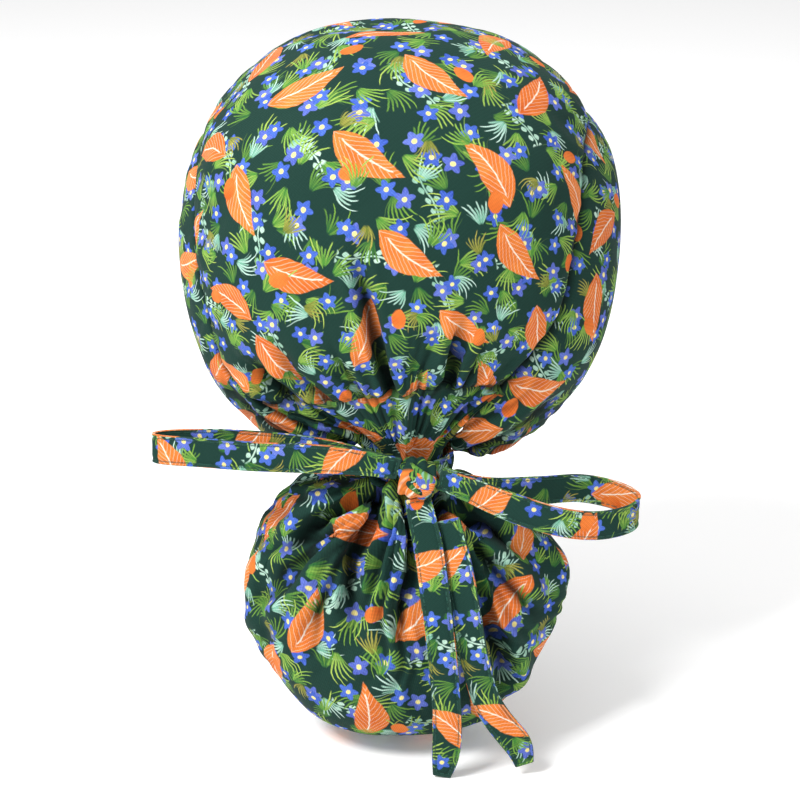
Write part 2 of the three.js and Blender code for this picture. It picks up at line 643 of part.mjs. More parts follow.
function pouchPoint(angle, down, inside) {
  const row = pouchRow(down);
  const slope = SHOULDER_SLOPE * smooth(-0.6, 1, Math.sin(angle)) * bell((row.drop - 0.13) / 0.17);
  const rise =
    SHOULDER_RISE * smooth(-0.3, 0.8, -Math.sin(angle)) * bell((row.drop - 0.04) / 0.05) * smooth(0, 0.02, row.drop);
  const creases = POUCH_CREASES.reduce((sum, crease) => {
    const way = THREE.MathUtils.clamp((down - crease.start) / (crease.end - crease.start), 0, 1);
    const turn = Math.abs(deg(THREE.MathUtils.lerp(crease.from, crease.to, way)) - angle);
    const away = Math.min(turn, 2 * Math.PI - turn) / deg(crease.wide);
    const along = smooth(crease.start - 0.08, crease.start + 0.1, down);
    return sum + CREASE_DEPTH * crease.depth * bell(away) * along * (1 - smooth(crease.end - 0.3, crease.end, down));
  }, 0);
  const small = NECK_PLEAT * gather(angle) * (1 + 2.2 * bell((down - 0.2) / 0.12)) * (1 - smooth(0.2, 0.5, down));
  const inset = small - creases - inside;
  const thin = down > 0.99 ? 0 : inset;
  const width = Math.sin(angle) < 0 ? row.left : row.right;
  return new THREE.Vector3(
    neck.x + (POUCH_HALF_WIDTH * width + thin) * Math.sin(angle),
    neck.y - row.lean - (POUCH_HALF_DEPTH * row.deep + thin) * Math.cos(angle),
    row.height - slope + rise,
  );
}

function pouchSkins() {
  const outer = [];
  const inner = [];
  for (const angle of steps(POUCH_COLUMNS, Math.PI, -Math.PI).slice(0, -1)) {
    const out = neckOut(angle);
    const mouth = neckPoint(angle, -SEAM_GAP / 2);
    const outerColumn = [mouth];
    const innerColumn = [mouth.clone().addScaledVector(out, -CLOTH)];
    for (const down of steps(POUCH_ROWS, 0, 1)) {
      const point = pouchPoint(angle, down, 0);
      const flat = smooth(0, 0.3, down) * (1 - smooth(0.62, 1, down));
      const shoulder = new THREE.Vector3(0, 0, down < 0.5 ? 1 : -1);
      const normal = out.clone().lerp(shoulder, (1 - flat) * smooth(0, 0.08, down)).normalize();
      outerColumn.push(point);
      innerColumn.push(point.clone().addScaledVector(normal, -CLOTH));
    }
    outer.push(outerColumn);
    inner.push(innerColumn);
  }
  return [outer, inner];
}

// A folded strip swept along stations that hold its middle, its width direction and its width.
function strip(stations) {
  const curve = new THREE.CatmullRomCurve3(stations.map((station) => station.middle));
  const positions = [];
  const sections = stations.map((station, i) => {
    const tangent = curve.getTangent(i / (stations.length - 1));
    const across = station.across.clone().addScaledVector(tangent, -station.across.dot(tangent));
    across.setLength(station.width / 2);
    const face = tangent.clone().cross(across).setLength(TIE_THICK / 2);
    return [
      station.middle.clone().add(across).add(face),
      station.middle.clone().sub(across).add(face),
      station.middle.clone().sub(across).sub(face),
      station.middle.clone().add(across).sub(face),
    ];
  });
  const quad = (a, b, c, d) => {
    for (const point of [a, b, c, a, c, d]) positions.push(point.x, point.y, point.z);
  };
  for (let i = 0; i < sections.length - 1; i++) {
    for (let k = 0; k < 4; k++) {
      const next = (k + 1) % 4;
      quad(sections[i][k], sections[i][next], sections[i + 1][next], sections[i + 1][k]);
    }
  }
  const end = sections[sections.length - 1];
  quad(sections[0][3], sections[0][2], sections[0][1], sections[0][0]);
  quad(end[0], end[1], end[2], end[3]);
  return fromTriangles(positions);
}

const wrapInside = NECK_RADIUS + NECK_PLEAT + TIE_CLEARANCE;
const wrapOutside = wrapInside + TIE_THICK;

function wrapGeometry() {
  const half = WRAP_WIDTH / 2;
  const bulge = 0.4;
  const profile = [
    [wrapInside, -half],
    [wrapOutside, -half],
    [wrapOutside + bulge, 0],
    [wrapOutside, half],
    [wrapInside, half],
    [wrapInside, -half],
  ].map(([radius, height]) => new THREE.Vector2(radius, height));
  return new THREE.LatheGeometry(profile, 40).rotateX(Math.PI / 2);
}

const knotMiddle = new THREE.Vector3(
  neck.x + 6,
  neck.y - wrapOutside - TIE_CLEARANCE - KNOT_HALF.back,
  neck.z + 1.5,
);

function knotGeometry() {
  const geometry = new THREE.SphereGeometry(1, 20, 12);
  return geometry.scale(KNOT_HALF.side, KNOT_HALF.back, KNOT_HALF.up);
}

function loopGeometry(rows, side, bow, lean) {
  const curve = column(rows, (row) => [
    knotMiddle.x + side * (KNOT_HALF.side + bow.reach * row.out),
    knotMiddle.y - bow.spread * row.back,
    knotMiddle.z + bow.rise * row.up,
  ]);
  return strip(
    steps(LOOP_STEPS, 0, 1).map((share) => ({
      middle: curve.getPoint(share),
      across: new THREE.Vector3(0, lean, 1),
      width: TIE_WIDTH * (0.75 + 0.25 * smooth(0, 0.18, Math.min(share, 1 - share))),
    })),
  );
}

// How far behind the neck the pouch reaches at or above a height, without its creases.
function pouchBehind(side, height) {
  const reach = steps(60, 0, 1).map((share) => {
    const row = pouchRow(share);
    const across = Math.min(Math.abs(side - neck.x) / Math.max(POUCH_HALF_WIDTH * row.right, 1), 1);
    return { height: row.height, behind: row.lean + POUCH_HALF_DEPTH * row.deep * Math.sqrt(1 - across ** 2) };
  });
  return Math.max(...reach.filter((place) => place.height >= height).map((place) => place.behind), 0);
}

function tailGeometry(rows, size) {
  const points = rows.map((row) => {
    const side = knotMiddle.x + size.swing * row.out;
    const up = knotMiddle.z - KNOT_HALF.up - size.length * row.down;
    const least = (POUCH_HALF_DEPTH + POUCH_LEAN + TAIL_CLEARANCE) * row.behind;
    return new THREE.Vector3(side, neck.y - Math.max(pouchBehind(side, up) + TAIL_CLEARANCE, least), up);
  });
  const curve = new THREE.CatmullRomCurve3(points, false, "catmullrom", 0.5);
  const facts = column(rows, (row) => [row.turn, row.wide, 0]);
  return strip(
    steps(TAIL_STEPS, 0, 1).map((share) => {
      const fact = facts.getPoint(share);
      return {
        middle: curve.getPoint(share),
        across: new THREE.Vector3(Math.cos(deg(fact.x)), -Math.sin(deg(fact.x)), 0),
        width: TIE_WIDTH * fact.y,
      };
    }),
  );
}

function piece(name, geometry) {
  const mesh = new THREE.Mesh(geometry, cloth.clone());
  mesh.name = name;
  return mesh;
}

const cap = new THREE.Group();
cap.add(piece("crown", shell(...crownSkins(), false, false)));
cap.add(piece("band", shell(...bandSkins(), false, false)));
cap.add(piece("nape_casing", shell(...casingSkins(), true, false)));
cap.add(piece("pouch", shell(...pouchSkins(), true, true)));

const wrap = piece("tie_wrap", wrapGeometry());
wrap.position.copy(neck);
const knot = piece("tie_knot", knotGeometry());
knot.position.copy(knotMiddle);
cap.add(wrap, knot);
cap.add(piece("tie_loop_left", loopGeometry(LEFT_LOOP, -1, LEFT_BOW, 0.1)));
cap.add(piece("tie_loop_right", loopGeometry(RIGHT_LOOP, 1, RIGHT_BOW, 0.1)));
cap.add(piece("tie_tail_left", tailGeometry(LEFT_TAIL, LEFT_TAIL_SIZE)));
cap.add(piece("tie_tail_right", tailGeometry(RIGHT_TAIL, RIGHT_TAIL_SIZE)));

export default cap;
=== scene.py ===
"""Dresses a ponytail scrub cap: puffed cotton sheets, a gathered hair pouch and a tied bow.

Lengths are in metres, +Z is up and the wearer's face looks along +Y. Each cloth starts from the
outer skin of its solid, is made finer, relaxed as cloth, pleated towards the neck of the pouch and
creased, turned in at its edges and then given its thickness.
"""
import heapq
import logging
import math
from collections.abc import Callable, Iterator, Sequence
from contextlib import contextmanager
from dataclasses import dataclass
from enum import Enum

import bpy
import numpy as np
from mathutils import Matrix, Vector
from mathutils.kdtree import KDTree


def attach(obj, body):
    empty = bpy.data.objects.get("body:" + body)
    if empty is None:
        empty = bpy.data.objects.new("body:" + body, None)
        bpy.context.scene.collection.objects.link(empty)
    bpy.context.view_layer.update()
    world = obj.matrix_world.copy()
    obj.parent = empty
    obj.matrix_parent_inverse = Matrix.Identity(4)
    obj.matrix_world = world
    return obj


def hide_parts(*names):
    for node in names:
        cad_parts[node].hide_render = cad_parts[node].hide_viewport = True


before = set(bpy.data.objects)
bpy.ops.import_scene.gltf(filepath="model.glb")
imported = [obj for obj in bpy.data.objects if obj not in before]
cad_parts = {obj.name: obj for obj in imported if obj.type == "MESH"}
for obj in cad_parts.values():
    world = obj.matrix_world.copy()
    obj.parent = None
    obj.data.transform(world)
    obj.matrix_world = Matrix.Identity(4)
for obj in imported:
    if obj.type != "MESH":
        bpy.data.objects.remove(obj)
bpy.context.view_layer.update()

log = logging.getLogger("scrub_cap")

NECK = np.array((0.0017, -0.072, -0.088))
FLOOR = -0.2295
MM = 1000.0

# A seam: how far the lower cloth reaches under the upper one, and how near a point is to count as
# on it. Then its painted shade and its dip: how strong that shade is and how far from the edge each
# fades.
SEAM_TUCK = 0.0038
SEAM_NEAR = 0.006
SEAM_SHADE = 1.4
SEAM_SHADE_WIDTH = 0.0022
SEAM_DIP_WIDTH = 0.0024
# How dark the painted shade in the grooves of the pleats is.
PLEAT_SHADE = 0.8

# Topstitching in millimetres: how far it lies from the edge and how long a stitch is.
STITCH_IN = 1.6
STITCH_LENGTH = 2.6

# A crease: how far from its line its lip stands and how wide the lip and the painted shade are, as
# shares of the groove's half width, and how deep a crease has to be for its full painted shade.
LIP_AWAY = 2.1
LIP_WIDE = 1.1
SHADE_WIDE = 0.6
SHADE_DEPTH = 0.005

# Puckers beside a seam: from one to the next, and how far from the edge they fade.
PUCKER_PITCH = 0.013
PUCKER_FADE = 0.008
WAVE_SIZE = 0.075

CLOTH_FRAMES = 16
MERGE_GAP = 0.000002
RIM_MATCH = 0.006
TIE_CREASE = 0.95


def ink(red: int, green: int, blue: int) -> tuple[float, float, float, float]:
    """Turns a dye's display values of 0 to 255 into a linear colour."""
    linear = [
        v / 255 / 12.92 if v < 11 else ((v / 255 + 0.055) / 1.055) ** 2.4
        for v in (red, green, blue)
    ]
    return (*linear, 1.0)


def operator(name: str) -> Callable[..., "Value"]:
    """Makes a method that adds the Math node of that name to a value and what it is given."""
    return lambda value, *others: value.maths(name, *others)


class Value:
    """A number that changes over a surface, written with the usual operators."""

    def __init__(self, paint: "Paint", socket: bpy.types.NodeSocket) -> None:
        """Wraps a socket.

        Args:
            paint: The material that the socket belongs to.
            socket: The output that carries the number.
        """
        self.paint = paint
        self.socket = socket

    def maths(self, operation: str, *others: "Value | float") -> "Value":
        """Adds one Math node.

        Args:
            operation: The node's operation.
            others: The further numbers that it takes.

        Returns:
            The result as a value.
        """
        links = dict(enumerate((self, *others)))
        made = self.paint.node("ShaderNodeMath", {"operation": operation}, links)
        return Value(self.paint, made.outputs[0])

    __add__ = __radd__ = operator("ADD")
    __mul__ = __rmul__ = operator("MULTIPLY")
    __sub__ = operator("SUBTRACT")
    __truediv__ = operator("DIVIDE")
    __pow__ = operator("POWER")
    size = operator("ABSOLUTE")
    fraction = operator("FRACT")
    floor = operator("FLOOR")
    sine = operator("SINE")
    least = operator("MINIMUM")
    most = operator("MAXIMUM")

    def __rsub__(self, other: float) -> "Value":
        """Takes this away from a number."""
        return self * -1.0 + other

    def mask(self, soft: float) -> "Value":
        """Turns a distance inside an edge into 0 to 1 over a soft width."""
        return (self / soft + 0.5).least(1.0).most(0.0)


Link = Value | bpy.types.NodeSocket | float | Sequence[float]


class Paint:
    """A material and the one method that adds its nodes."""

    def __init__(self, name: str) -> None:
        """Starts an empty material of that name."""
        self.material = bpy.data.materials.new(name)
        self.material.use_nodes = True
        self.tree = self.material.node_tree
        self.tree.nodes.clear()

    def node(
        self, kind: str, settings: dict | None = None, links: dict | None = None
    ) -> bpy.types.Node:
        """Adds a node.

        Args:
            kind: The node's type.
            settings: Its settings, which are set first.
            links: What each of its inputs holds or is linked to, by name or number.

        Returns:
            The node.
        """
        made = self.tree.nodes.new(kind)
        for key, value in (settings or {}).items():
            setattr(made, key, value)
        for key, value in (links or {}).items():
            target = made.inputs[key]
            if isinstance(value, Value):
                self.tree.links.new(value.socket, target)
            elif isinstance(value, bpy.types.NodeSocket):
                self.tree.links.new(value, target)
            else:
                target.default_value = value
        return made

    def vector(self, operation: str, *items: Link) -> bpy.types.NodeSocket:
        """Adds a Vector Math node and returns its vector."""
        links = dict(enumerate(items))
        return self.node("ShaderNodeVectorMath", {"operation": operation}, links).outputs[0]

    def scaled(self, vector: Link, by: float) -> bpy.types.NodeSocket:
        """A vector times a number."""
        links = {0: vector, "Scale": by}
        return self.node("ShaderNodeVectorMath", {"operation": "SCALE"}, links).outputs[0]

    def turned(self, vector: Link, angle: Link) -> bpy.types.NodeSocket:
        """A vector turned about Z."""
        links = {"Vector": vector, "Angle": angle}
        return self.node("ShaderNodeVectorRotate", {"rotation_type": "Z_AXIS"}, links).outputs[0]

    def split(self, vector: bpy.types.NodeSocket) -> tuple[Value, Value, Value]:
        """The three parts of a vector."""
        parts = self.node("ShaderNodeSeparateXYZ", None, {0: vector}).outputs
        return Value(self, parts[0]), Value(self, parts[1]), Value(self, parts[2])

    def noise(self, vector: Link, scale: float, detail: float = 2.0) -> Value:
        """Soft noise about 0.5."""
        links = {"Vector": vector, "Scale": scale, "Detail": detail}
        return Value(self, self.node("ShaderNodeTexNoise", None, links).outputs["Fac"])

    def stored(self, name: str) -> Value:
        """A number that a piece keeps for each point."""
        made = self.node("ShaderNodeAttribute", {"attribute_name": name})
        return Value(self, made.outputs["Fac"])

    def mixed(self, share: Link, first: Link, second: Link) -> bpy.types.NodeSocket:
        """Goes from the first colour to the second by a share of 0 to 1."""
        made = self.node("ShaderNodeMix", {"data_type": "RGBA"}, {0: share, 6: first, 7: second})
        return made.outputs[2]


class Motif(Enum):
    """The kinds of motif in the tossed print."""

    LEAF = "leaf"
    FLOWER = "flower"
    TUFT = "tuft"
    STEM = "stem"
    BUD = "bud"


@dataclass(frozen=True)
class Toss:
    """One layer of the print: a motif in each place of a staggered lattice, turned every way.

    Attributes:
        motif: What is drawn.
        colours: The lighter and the darker tone of its dye.
        spacing: The lattice's spacing in millimetres.
        size: The motif's length, or a flower's radius, in millimetres.
        turn: The lattice's turn in radians.
        seed: What tells this layer's places from the others'.
        jitter: How far each place strays, as a share of the spacing.
    """

    motif: Motif
    colours: tuple[tuple[int, int, int], tuple[int, int, int]]
    spacing: float
    size: float
    turn: float
    seed: float
    jitter: float = 0.34


PRINT = (
    Toss(Motif.STEM, ((206, 236, 218), (120, 176, 150)), 43.0, 22.0, 0.35, 3.1),
    Toss(Motif.TUFT, ((128, 172, 66), (44, 100, 52)), 20.0, 15.5, 1.15, 17.4),
    Toss(Motif.TUFT, ((208, 238, 226), (110, 172, 146)), 27.0, 14.0, 0.6, 47.1),
    Toss(Motif.TUFT, ((186, 212, 98), (80, 140, 56)), 23.0, 16.5, 0.8, 5.7),
    Toss(Motif.FLOWER, ((112, 132, 216), (60, 74, 172)), 23.0, 4.7, 0.5, 9.3),
    Toss(Motif.FLOWER, ((88, 124, 218), (42, 68, 170)), 19.0, 4.4, 1.3, 23.8),
    Toss(Motif.TUFT, ((178, 168, 82), (110, 122, 48)), 41.0, 12.0, 0.1, 29.6),
    Toss(Motif.LEAF, ((240, 138, 62), (214, 100, 36)), 44.0, 34.0, 1.0, 11.9, 0.22),
    Toss(Motif.BUD, ((238, 132, 60), (216, 100, 38)), 53.0, 9.0, 0.2, 41.2),
    Toss(Motif.TUFT, ((164, 204, 86), (66, 126, 54)), 37.0, 14.5, 1.7, 61.3),
)


@dataclass(frozen=True)
class PrintedTwill:
    """Dark green cotton twill with a tossed print of leaves, flowers and stems, and painted shade
    in its folds.

    Attributes:
        name: The material's name.
        ground: The cloth's own dye.
        twill: The width of a twill line in millimetres.
        stitch: The colour of its thread.
    """

    name: str
    ground: tuple[int, int, int] = (22, 52, 45)
    twill: float = 1.15
    stitch: tuple[int, int, int] = (44, 84, 72)

    def place(
        self, paint: Paint, layer: Toss, cloth: bpy.types.NodeSocket
    ) -> tuple[Value, Value, Value]:
        """Where a point lies in the nearest motif of a layer.

        Args:
            paint: The material.
            layer: The layer.
            cloth: The place on the flat cloth in millimetres.

        Returns:
            The place along and across the motif in millimetres, and the motif's own random share.
        """
        turned = paint.turned(cloth, layer.turn)
        across, up, _ = paint.split(paint.scaled(turned, 1 / layer.spacing))
        across = across + up.floor() * 0.5
        place = paint.node("ShaderNodeCombineXYZ", None, {0: across, 1: up, 2: 0.0}).outputs[0]
        shift = (layer.seed, layer.seed * 1.7, 0.0)
        cell = paint.vector("ADD", paint.vector("FLOOR", place), shift)
        dice = paint.node("ShaderNodeTexWhiteNoise", {"noise_dimensions": "2D"}, {"Vector": cell})
        stray = paint.vector("SUBTRACT", dice.outputs["Color"], (0.5, 0.5, 0.5))
        middle = paint.vector("ADD", paint.scaled(stray, layer.jitter), (0.5, 0.5, 0.0))
        off = paint.vector("SUBTRACT", paint.vector("FRACTION", place), middle)
        off = paint.scaled(off, layer.spacing)
        roll = Value(paint, dice.outputs["Value"])
        x, y, _ = paint.split(paint.turned(off, roll * (2 * math.pi)))
        return x, y, (roll * 7.31).fraction()

    def motif(
        self, paint: Paint, layer: Toss, cloth: bpy.types.NodeSocket, tone: Value, under: Link
    ) -> bpy.types.NodeSocket:
        """Prints one layer over what is under it.

        Args:
            paint: The material.
            layer: The layer.
            cloth: The place on the flat cloth in millimetres.
            tone: The dye's uneven tone.
            under: The colour so far.

        Returns:
            The colour with the layer on it.
        """
        x, y, roll = self.place(paint, layer, cloth)
        light, dark = (ink(*colour) for colour in layer.colours)
        half = layer.size / 2
        shade = (tone + roll * 0.5 - 0.25).least(1.0).most(0.0)
        pale = ink(250, 240, 222)
        if layer.motif is Motif.LEAF:
            bent = y + x * x * 0.011 - 1.2
            reach = (1 - (x / half) * (x / half)) * (layer.size * 0.2) * (1 + x / half * 0.45)
            body = (reach - bent.size()).mask(0.5)
            rib = (0.3 - (bent + 0.6).size()).mask(0.4) * (half * 0.7 - x.size()).mask(1.0)
            colour = paint.mixed(shade, light, dark)
            veins = (((x * 0.3 + bent.size() * 0.5).fraction() - 0.5).size() - 0.4).mask(0.07)
            colour = paint.mixed((rib * 0.9 + veins * 0.3).least(1.0), colour, pale)
            return paint.mixed(body, under, colour)
        if layer.motif is Motif.FLOWER:
            away = (x * x + y * y) ** 0.5
            turn = y.maths("ARCTAN2", x)
            petal = (turn * 5.0).sine()
            body = (petal * (layer.size * 0.2) + layer.size * 0.78 - away).mask(0.45)
            lines = ((turn * 15.0).sine() * 0.5 + 0.5) * (away / layer.size).least(1.0)
            colour = paint.mixed((shade * 0.6 + lines * 0.4).least(1.0), light, dark)
            colour = paint.mixed((layer.size * 0.24 - away).mask(0.4), colour, ink(248, 232, 150))
            return paint.mixed(body, under, colour)
        if layer.motif is Motif.TUFT:
            root = x + half
            away = (root * root + y * y) ** 0.5
            turn = y.maths("ARCTAN2", root) + away * away * (roll - 0.5) * (1.1 / layer.size**2)
            blade = turn * 5.2 + roll * 3.0
            chance = ((blade.floor() * 12.9898 + roll * 40.0).sine() * 43758.5).fraction()
            long = (chance * 0.45 + 0.55) * layer.size
            side = (blade.fraction() - 0.5).size() * away / 5.2
            wide = (1 - (away / layer.size) * (away / layer.size)).most(0.0) * 0.36 + 0.11
            strokes = (wide - side).mask(0.3) * (long - away).mask(0.9)
            strokes = strokes * (0.62 - turn.size()).mask(0.08)
            toned = (away / layer.size * 0.9 + (chance - 0.5) * 0.5).least(1.0).most(0.0)
            colour = paint.mixed(toned, dark, light)
            return paint.mixed(strokes * (away - 1.6).mask(1.2), under, colour)
        if layer.motif is Motif.STEM:
            bent = y - (x * (4.2 / layer.size)).sine() * 2.6
            inside = (half - x.size()).mask(0.8)
            stalk = (0.34 - bent.size()).mask(0.35)
            step = (x / 4.6).fraction() - 0.5
            leaf = (1 - (step * step) * 9.0) * 1.15 - (bent.size() - 1.75).size()
            body = stalk.most(leaf.mask(0.5)) * inside
            return paint.mixed(body, under, paint.mixed(shade, light, dark))
        away = (x * x * 0.45 + y * y) ** 0.5
        body = (layer.size * 0.36 - away + x * 0.1).mask(0.4)
        stalk = (0.3 - (y + x * x * 0.03).size()).mask(0.3)
        stalk = stalk * (layer.size - x.size()).mask(0.6) * (0.0 - x).mask(0.6)
        colour = paint.mixed(shade, light, dark)
        return paint.mixed(body, paint.mixed(stalk, under, ink(150, 190, 90)), colour)

    def make(self) -> bpy.types.Material:
        """Makes the material.

        Returns:
            The material.
        """
        paint = Paint(self.name)
        flat = paint.node("ShaderNodeUVMap", {"uv_map": "cloth"}).outputs[0]
        plain = paint.scaled(flat, MM)
        bent = paint.node("ShaderNodeTexNoise", None, {"Vector": plain, "Scale": 0.16})
        warp = paint.vector("SUBTRACT", bent.outputs["Color"], (0.5, 0.5, 0.5))
        cloth = paint.vector("ADD", plain, paint.scaled(warp, 1.6))
        tone = (paint.noise(plain, 0.11, 3.0) - 0.5) * 1.8 + 0.5
        grain = paint.noise(plain, 1.3, 2.0)
        wash = paint.noise(plain, 0.022, 3.0)

        colour: Link = paint.mixed(wash * 0.7, ink(*self.ground), ink(34, 66, 57))
        for layer in PRINT:
            colour = self.motif(paint, layer, cloth, tone, colour)
        across, up, _ = paint.split(plain)
        line = ((across + up) * (2 * math.pi / self.twill)).sine() * 0.5 + 0.5
        thread = ((across - up) * (2 * math.pi / (self.twill * 1.9))).sine() * 0.5 + 0.5
        weave = line * 0.7 + thread * 0.3
        colour = paint.mixed(weave * 0.27 + grain * 0.14, colour, ink(10, 26, 23))

        worn = (1.2 - paint.stored("edge") * MM).mask(1.6)
        colour = paint.mixed(worn * 0.08, colour, ink(96, 128, 112))
        from_row = (paint.stored("sewn") * MM - STITCH_IN).size()
        along = (paint.stored("along") * (MM / STITCH_LENGTH)).fraction()
        thread_mark = (0.3 - from_row).mask(0.3) * (0.34 - (along - 0.5).size()).mask(0.12)
        colour = paint.mixed(thread_mark * 0.75, colour, ink(*self.stitch))
        groove = (0.9 - from_row).mask(0.9)
        # Painted shade: darkens the cloth towards near black in the grooves of the creases and
        # pleats and along the seams.
        colour = paint.mixed(paint.stored("fold_and_painted_shade") * 0.9, colour, ink(4, 11, 10))

        crumple = paint.noise(plain, 0.09, 4.0)
        height = weave * 0.05 + grain * 0.05 + crumple * 0.55 + thread_mark * 0.22 - groove * 0.3
        links = {"Strength": 0.9, "Distance": 0.001, "Height": height}
        bump = paint.node("ShaderNodeBump", None, links)
        rough = wash * 0.1 + grain * 0.08 + 0.76 - thread_mark * 0.12
        shader = paint.node(
            "ShaderNodeBsdfPrincipled",
            None,
            {"Base Color": colour, "Roughness": rough, "Normal": bump.outputs[0]},
        )
        shader.inputs["Sheen Weight"].default_value = 0.02
        shader.inputs["Sheen Roughness"].default_value = 0.5
        shader.inputs["Specular IOR Level"].default_value = 0.1
        out = paint.node("ShaderNodeOutputMaterial", None, {"Surface": shader.outputs[0]})
        out.is_active_output = True
        return paint.material


def only(piece: bpy.types.Object) -> None:
    """Leaves one piece selected and active, in object mode."""
    if bpy.context.object and bpy.context.object.mode != "OBJECT":
        bpy.ops.object.mode_set(mode="OBJECT")
    bpy.ops.object.select_all(action="DESELECT")
    piece.hide_viewport = False
    piece.select_set(True)
    bpy.context.view_layer.objects.active = piece


@contextmanager
def editing(piece: bpy.types.Object, action: str = "SELECT") -> Iterator[None]:
    """Opens a piece in edit mode, and closes it again.

    Args:
        piece: The piece.
        action: Whether all of it is selected or none.
    """
    only(piece)
    bpy.ops.object.mode_set(mode="EDIT")
    bpy.ops.mesh.select_all(action=action)
    yield
    bpy.ops.object.mode_set(mode="OBJECT")


def tree_of(places: Sequence[Sequence[float]]) -> KDTree:
    """A search tree of places, which are numbered in their order."""
    tree = KDTree(max(len(places), 1))
    for number, place in enumerate(places):
        tree.insert(place, number)
    tree.balance()
    return tree


def points_of(piece: bpy.types.Object) -> np.ndarray:
    """A piece's points, one row each."""
    flat = np.empty(len(piece.data.vertices) * 3)
    piece.data.vertices.foreach_get("co", flat)
    return flat.reshape(-1, 3)


def normals_of(piece: bpy.types.Object) -> np.ndarray:
    """A piece's normals at its points, one row each."""
    flat = np.empty(len(piece.data.vertices) * 3, np.float32)
    piece.data.vertex_normals.foreach_get("vector", flat)
    return flat.reshape(-1, 3).astype(float)


def move_points(piece: bpy.types.Object, points: np.ndarray) -> None:
    """Puts a piece's points where the rows say."""
    piece.data.vertices.foreach_set("co", points.astype(np.float32).ravel())
    piece.data.update()


def keep_number(piece: bpy.types.Object, name: str, numbers: np.ndarray) -> None:
    """Keeps one number for each point of a piece under a name that materials read."""
    layer = piece.data.attributes.get(name) or piece.data.attributes.new(name, "FLOAT", "POINT")
    layer.data.foreach_set("value", numbers.astype(np.float32))


def solid_copy(node: str, name: str) -> bpy.types.Object:
    """Copies a solid of the frame as one merged mesh.

    Args:
        node: The solid's name.
        name: The new piece's name.

    Returns:
        The new piece.
    """
    piece = bpy.data.objects.new(name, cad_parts[node].data.copy())
    bpy.context.scene.collection.objects.link(piece)
    piece.data.materials.clear()
    only(piece)
    if piece.data.has_custom_normals:
        bpy.ops.mesh.customdata_custom_splitnormals_clear()
    with editing(piece):
        bpy.ops.mesh.remove_doubles(threshold=MERGE_GAP)
    return piece


def outer_faces(piece: bpy.types.Object, thick: float, middle: np.ndarray) -> list[int]:
    """Finds the faces of the outer skin of a thin closed wall.

    Args:
        piece: The wall.
        thick: How thick the wall is.
        middle: A point inside the hollow.

    Returns:
        The numbers of the outer skin's faces.
    """
    mesh = piece.data
    points = points_of(piece)
    faces = [tuple(face.vertices) for face in mesh.polygons]
    normals = np.array([face.normal for face in mesh.polygons])
    centres = np.array([face.center for face in mesh.polygons])
    areas = np.array([face.area for face in mesh.polygons])
    owners: dict[tuple[int, int], list[int]] = {}
    on_rim = np.zeros(len(faces), bool)
    for number, face in enumerate(faces):
        for a, b in zip(face, face[1:] + face[:1]):
            owners.setdefault((min(a, b), max(a, b)), []).append(number)
            on_rim[number] |= abs(np.linalg.norm(points[a] - points[b]) - thick) < thick * RIM_MATCH
    links: list[list[int]] = [[] for _ in faces]
    for pair in owners.values():
        if len(pair) == 2 and not on_rim[pair[0]] and not on_rim[pair[1]]:
            links[pair[0]].append(pair[1])
            links[pair[1]].append(pair[0])
    group = np.full(len(faces), -1)
    sums: list[float] = []
    for start in np.flatnonzero(~on_rim):
        if group[start] >= 0:
            continue
        group[start] = len(sums)
        stack = [int(start)]
        flow = 0.0
        while stack:
            face = stack.pop()
            flow += float(normals[face] @ (centres[face] - middle)) * areas[face]
            for other in links[face]:
                if group[other] < 0:
                    group[other] = len(sums)
                    stack.append(other)
        sums.append(flow)
    outer = set(np.flatnonzero(group == int(np.argmax(sums))).tolist())
    held = {point for face in outer for point in faces[face]}
    rim = np.flatnonzero(on_rim).tolist()
    outer |= {face for face in rim if all(point in held for point in faces[face])}
    log.debug("%s: %d of %d faces are its outer skin", piece.name, len(outer), len(faces))
    return sorted(outer)


def keep_faces(piece: bpy.types.Object, kept: list[int]) -> None:
    """Deletes every face of a piece but those."""
    keep = set(kept)
    with editing(piece, "DESELECT"):
        bpy.ops.mesh.select_mode(type="FACE")
    for face in piece.data.polygons:
        face.select = face.index not in keep
    bpy.ops.object.mode_set(mode="EDIT")
    bpy.ops.mesh.delete(type="FACE")
    bpy.ops.object.mode_set(mode="OBJECT")


def pair_faces(piece: bpy.types.Object) -> None:
    """Pairs a piece's triangles into four-sided faces."""
    with editing(piece):
        bpy.ops.mesh.tris_convert_to_quads(face_threshold=math.pi, shape_threshold=math.pi)


def lay_flat(piece: bpy.types.Object, cuts: set[tuple[int, int]]) -> None:
    """Gives a piece its place on the flat cloth, in metres.

    Args:
        piece: The piece.
        cuts: The keys of the edges that are cut open so that it lies flat.
    """
    for edge in piece.data.edges:
        edge.use_seam = tuple(sorted(edge.vertices)) in cuts
    while piece.data.uv_layers:
        piece.data.uv_layers.remove(piece.data.uv_layers[0])
    piece.data.uv_layers.new(name="cloth")
    with editing(piece):
        bpy.ops.uv.unwrap(method="ANGLE_BASED", margin=0.02)
    layer = piece.data.uv_layers["cloth"]
    flat = np.empty(len(layer.data) * 2)
    layer.data.foreach_get("uv", flat)
    flat = flat.reshape(-1, 2)
    drawn = 0.0
    for face in piece.data.polygons:
        ring = flat[list(face.loop_indices)]
        nxt = np.roll(ring, -1, axis=0)
        drawn += abs(float((ring[:, 0] * nxt[:, 1] - ring[:, 1] * nxt[:, 0]).sum())) / 2
    real = sum(face.area for face in piece.data.polygons)
    layer.data.foreach_set("uv", (flat * math.sqrt(real / drawn)).ravel())


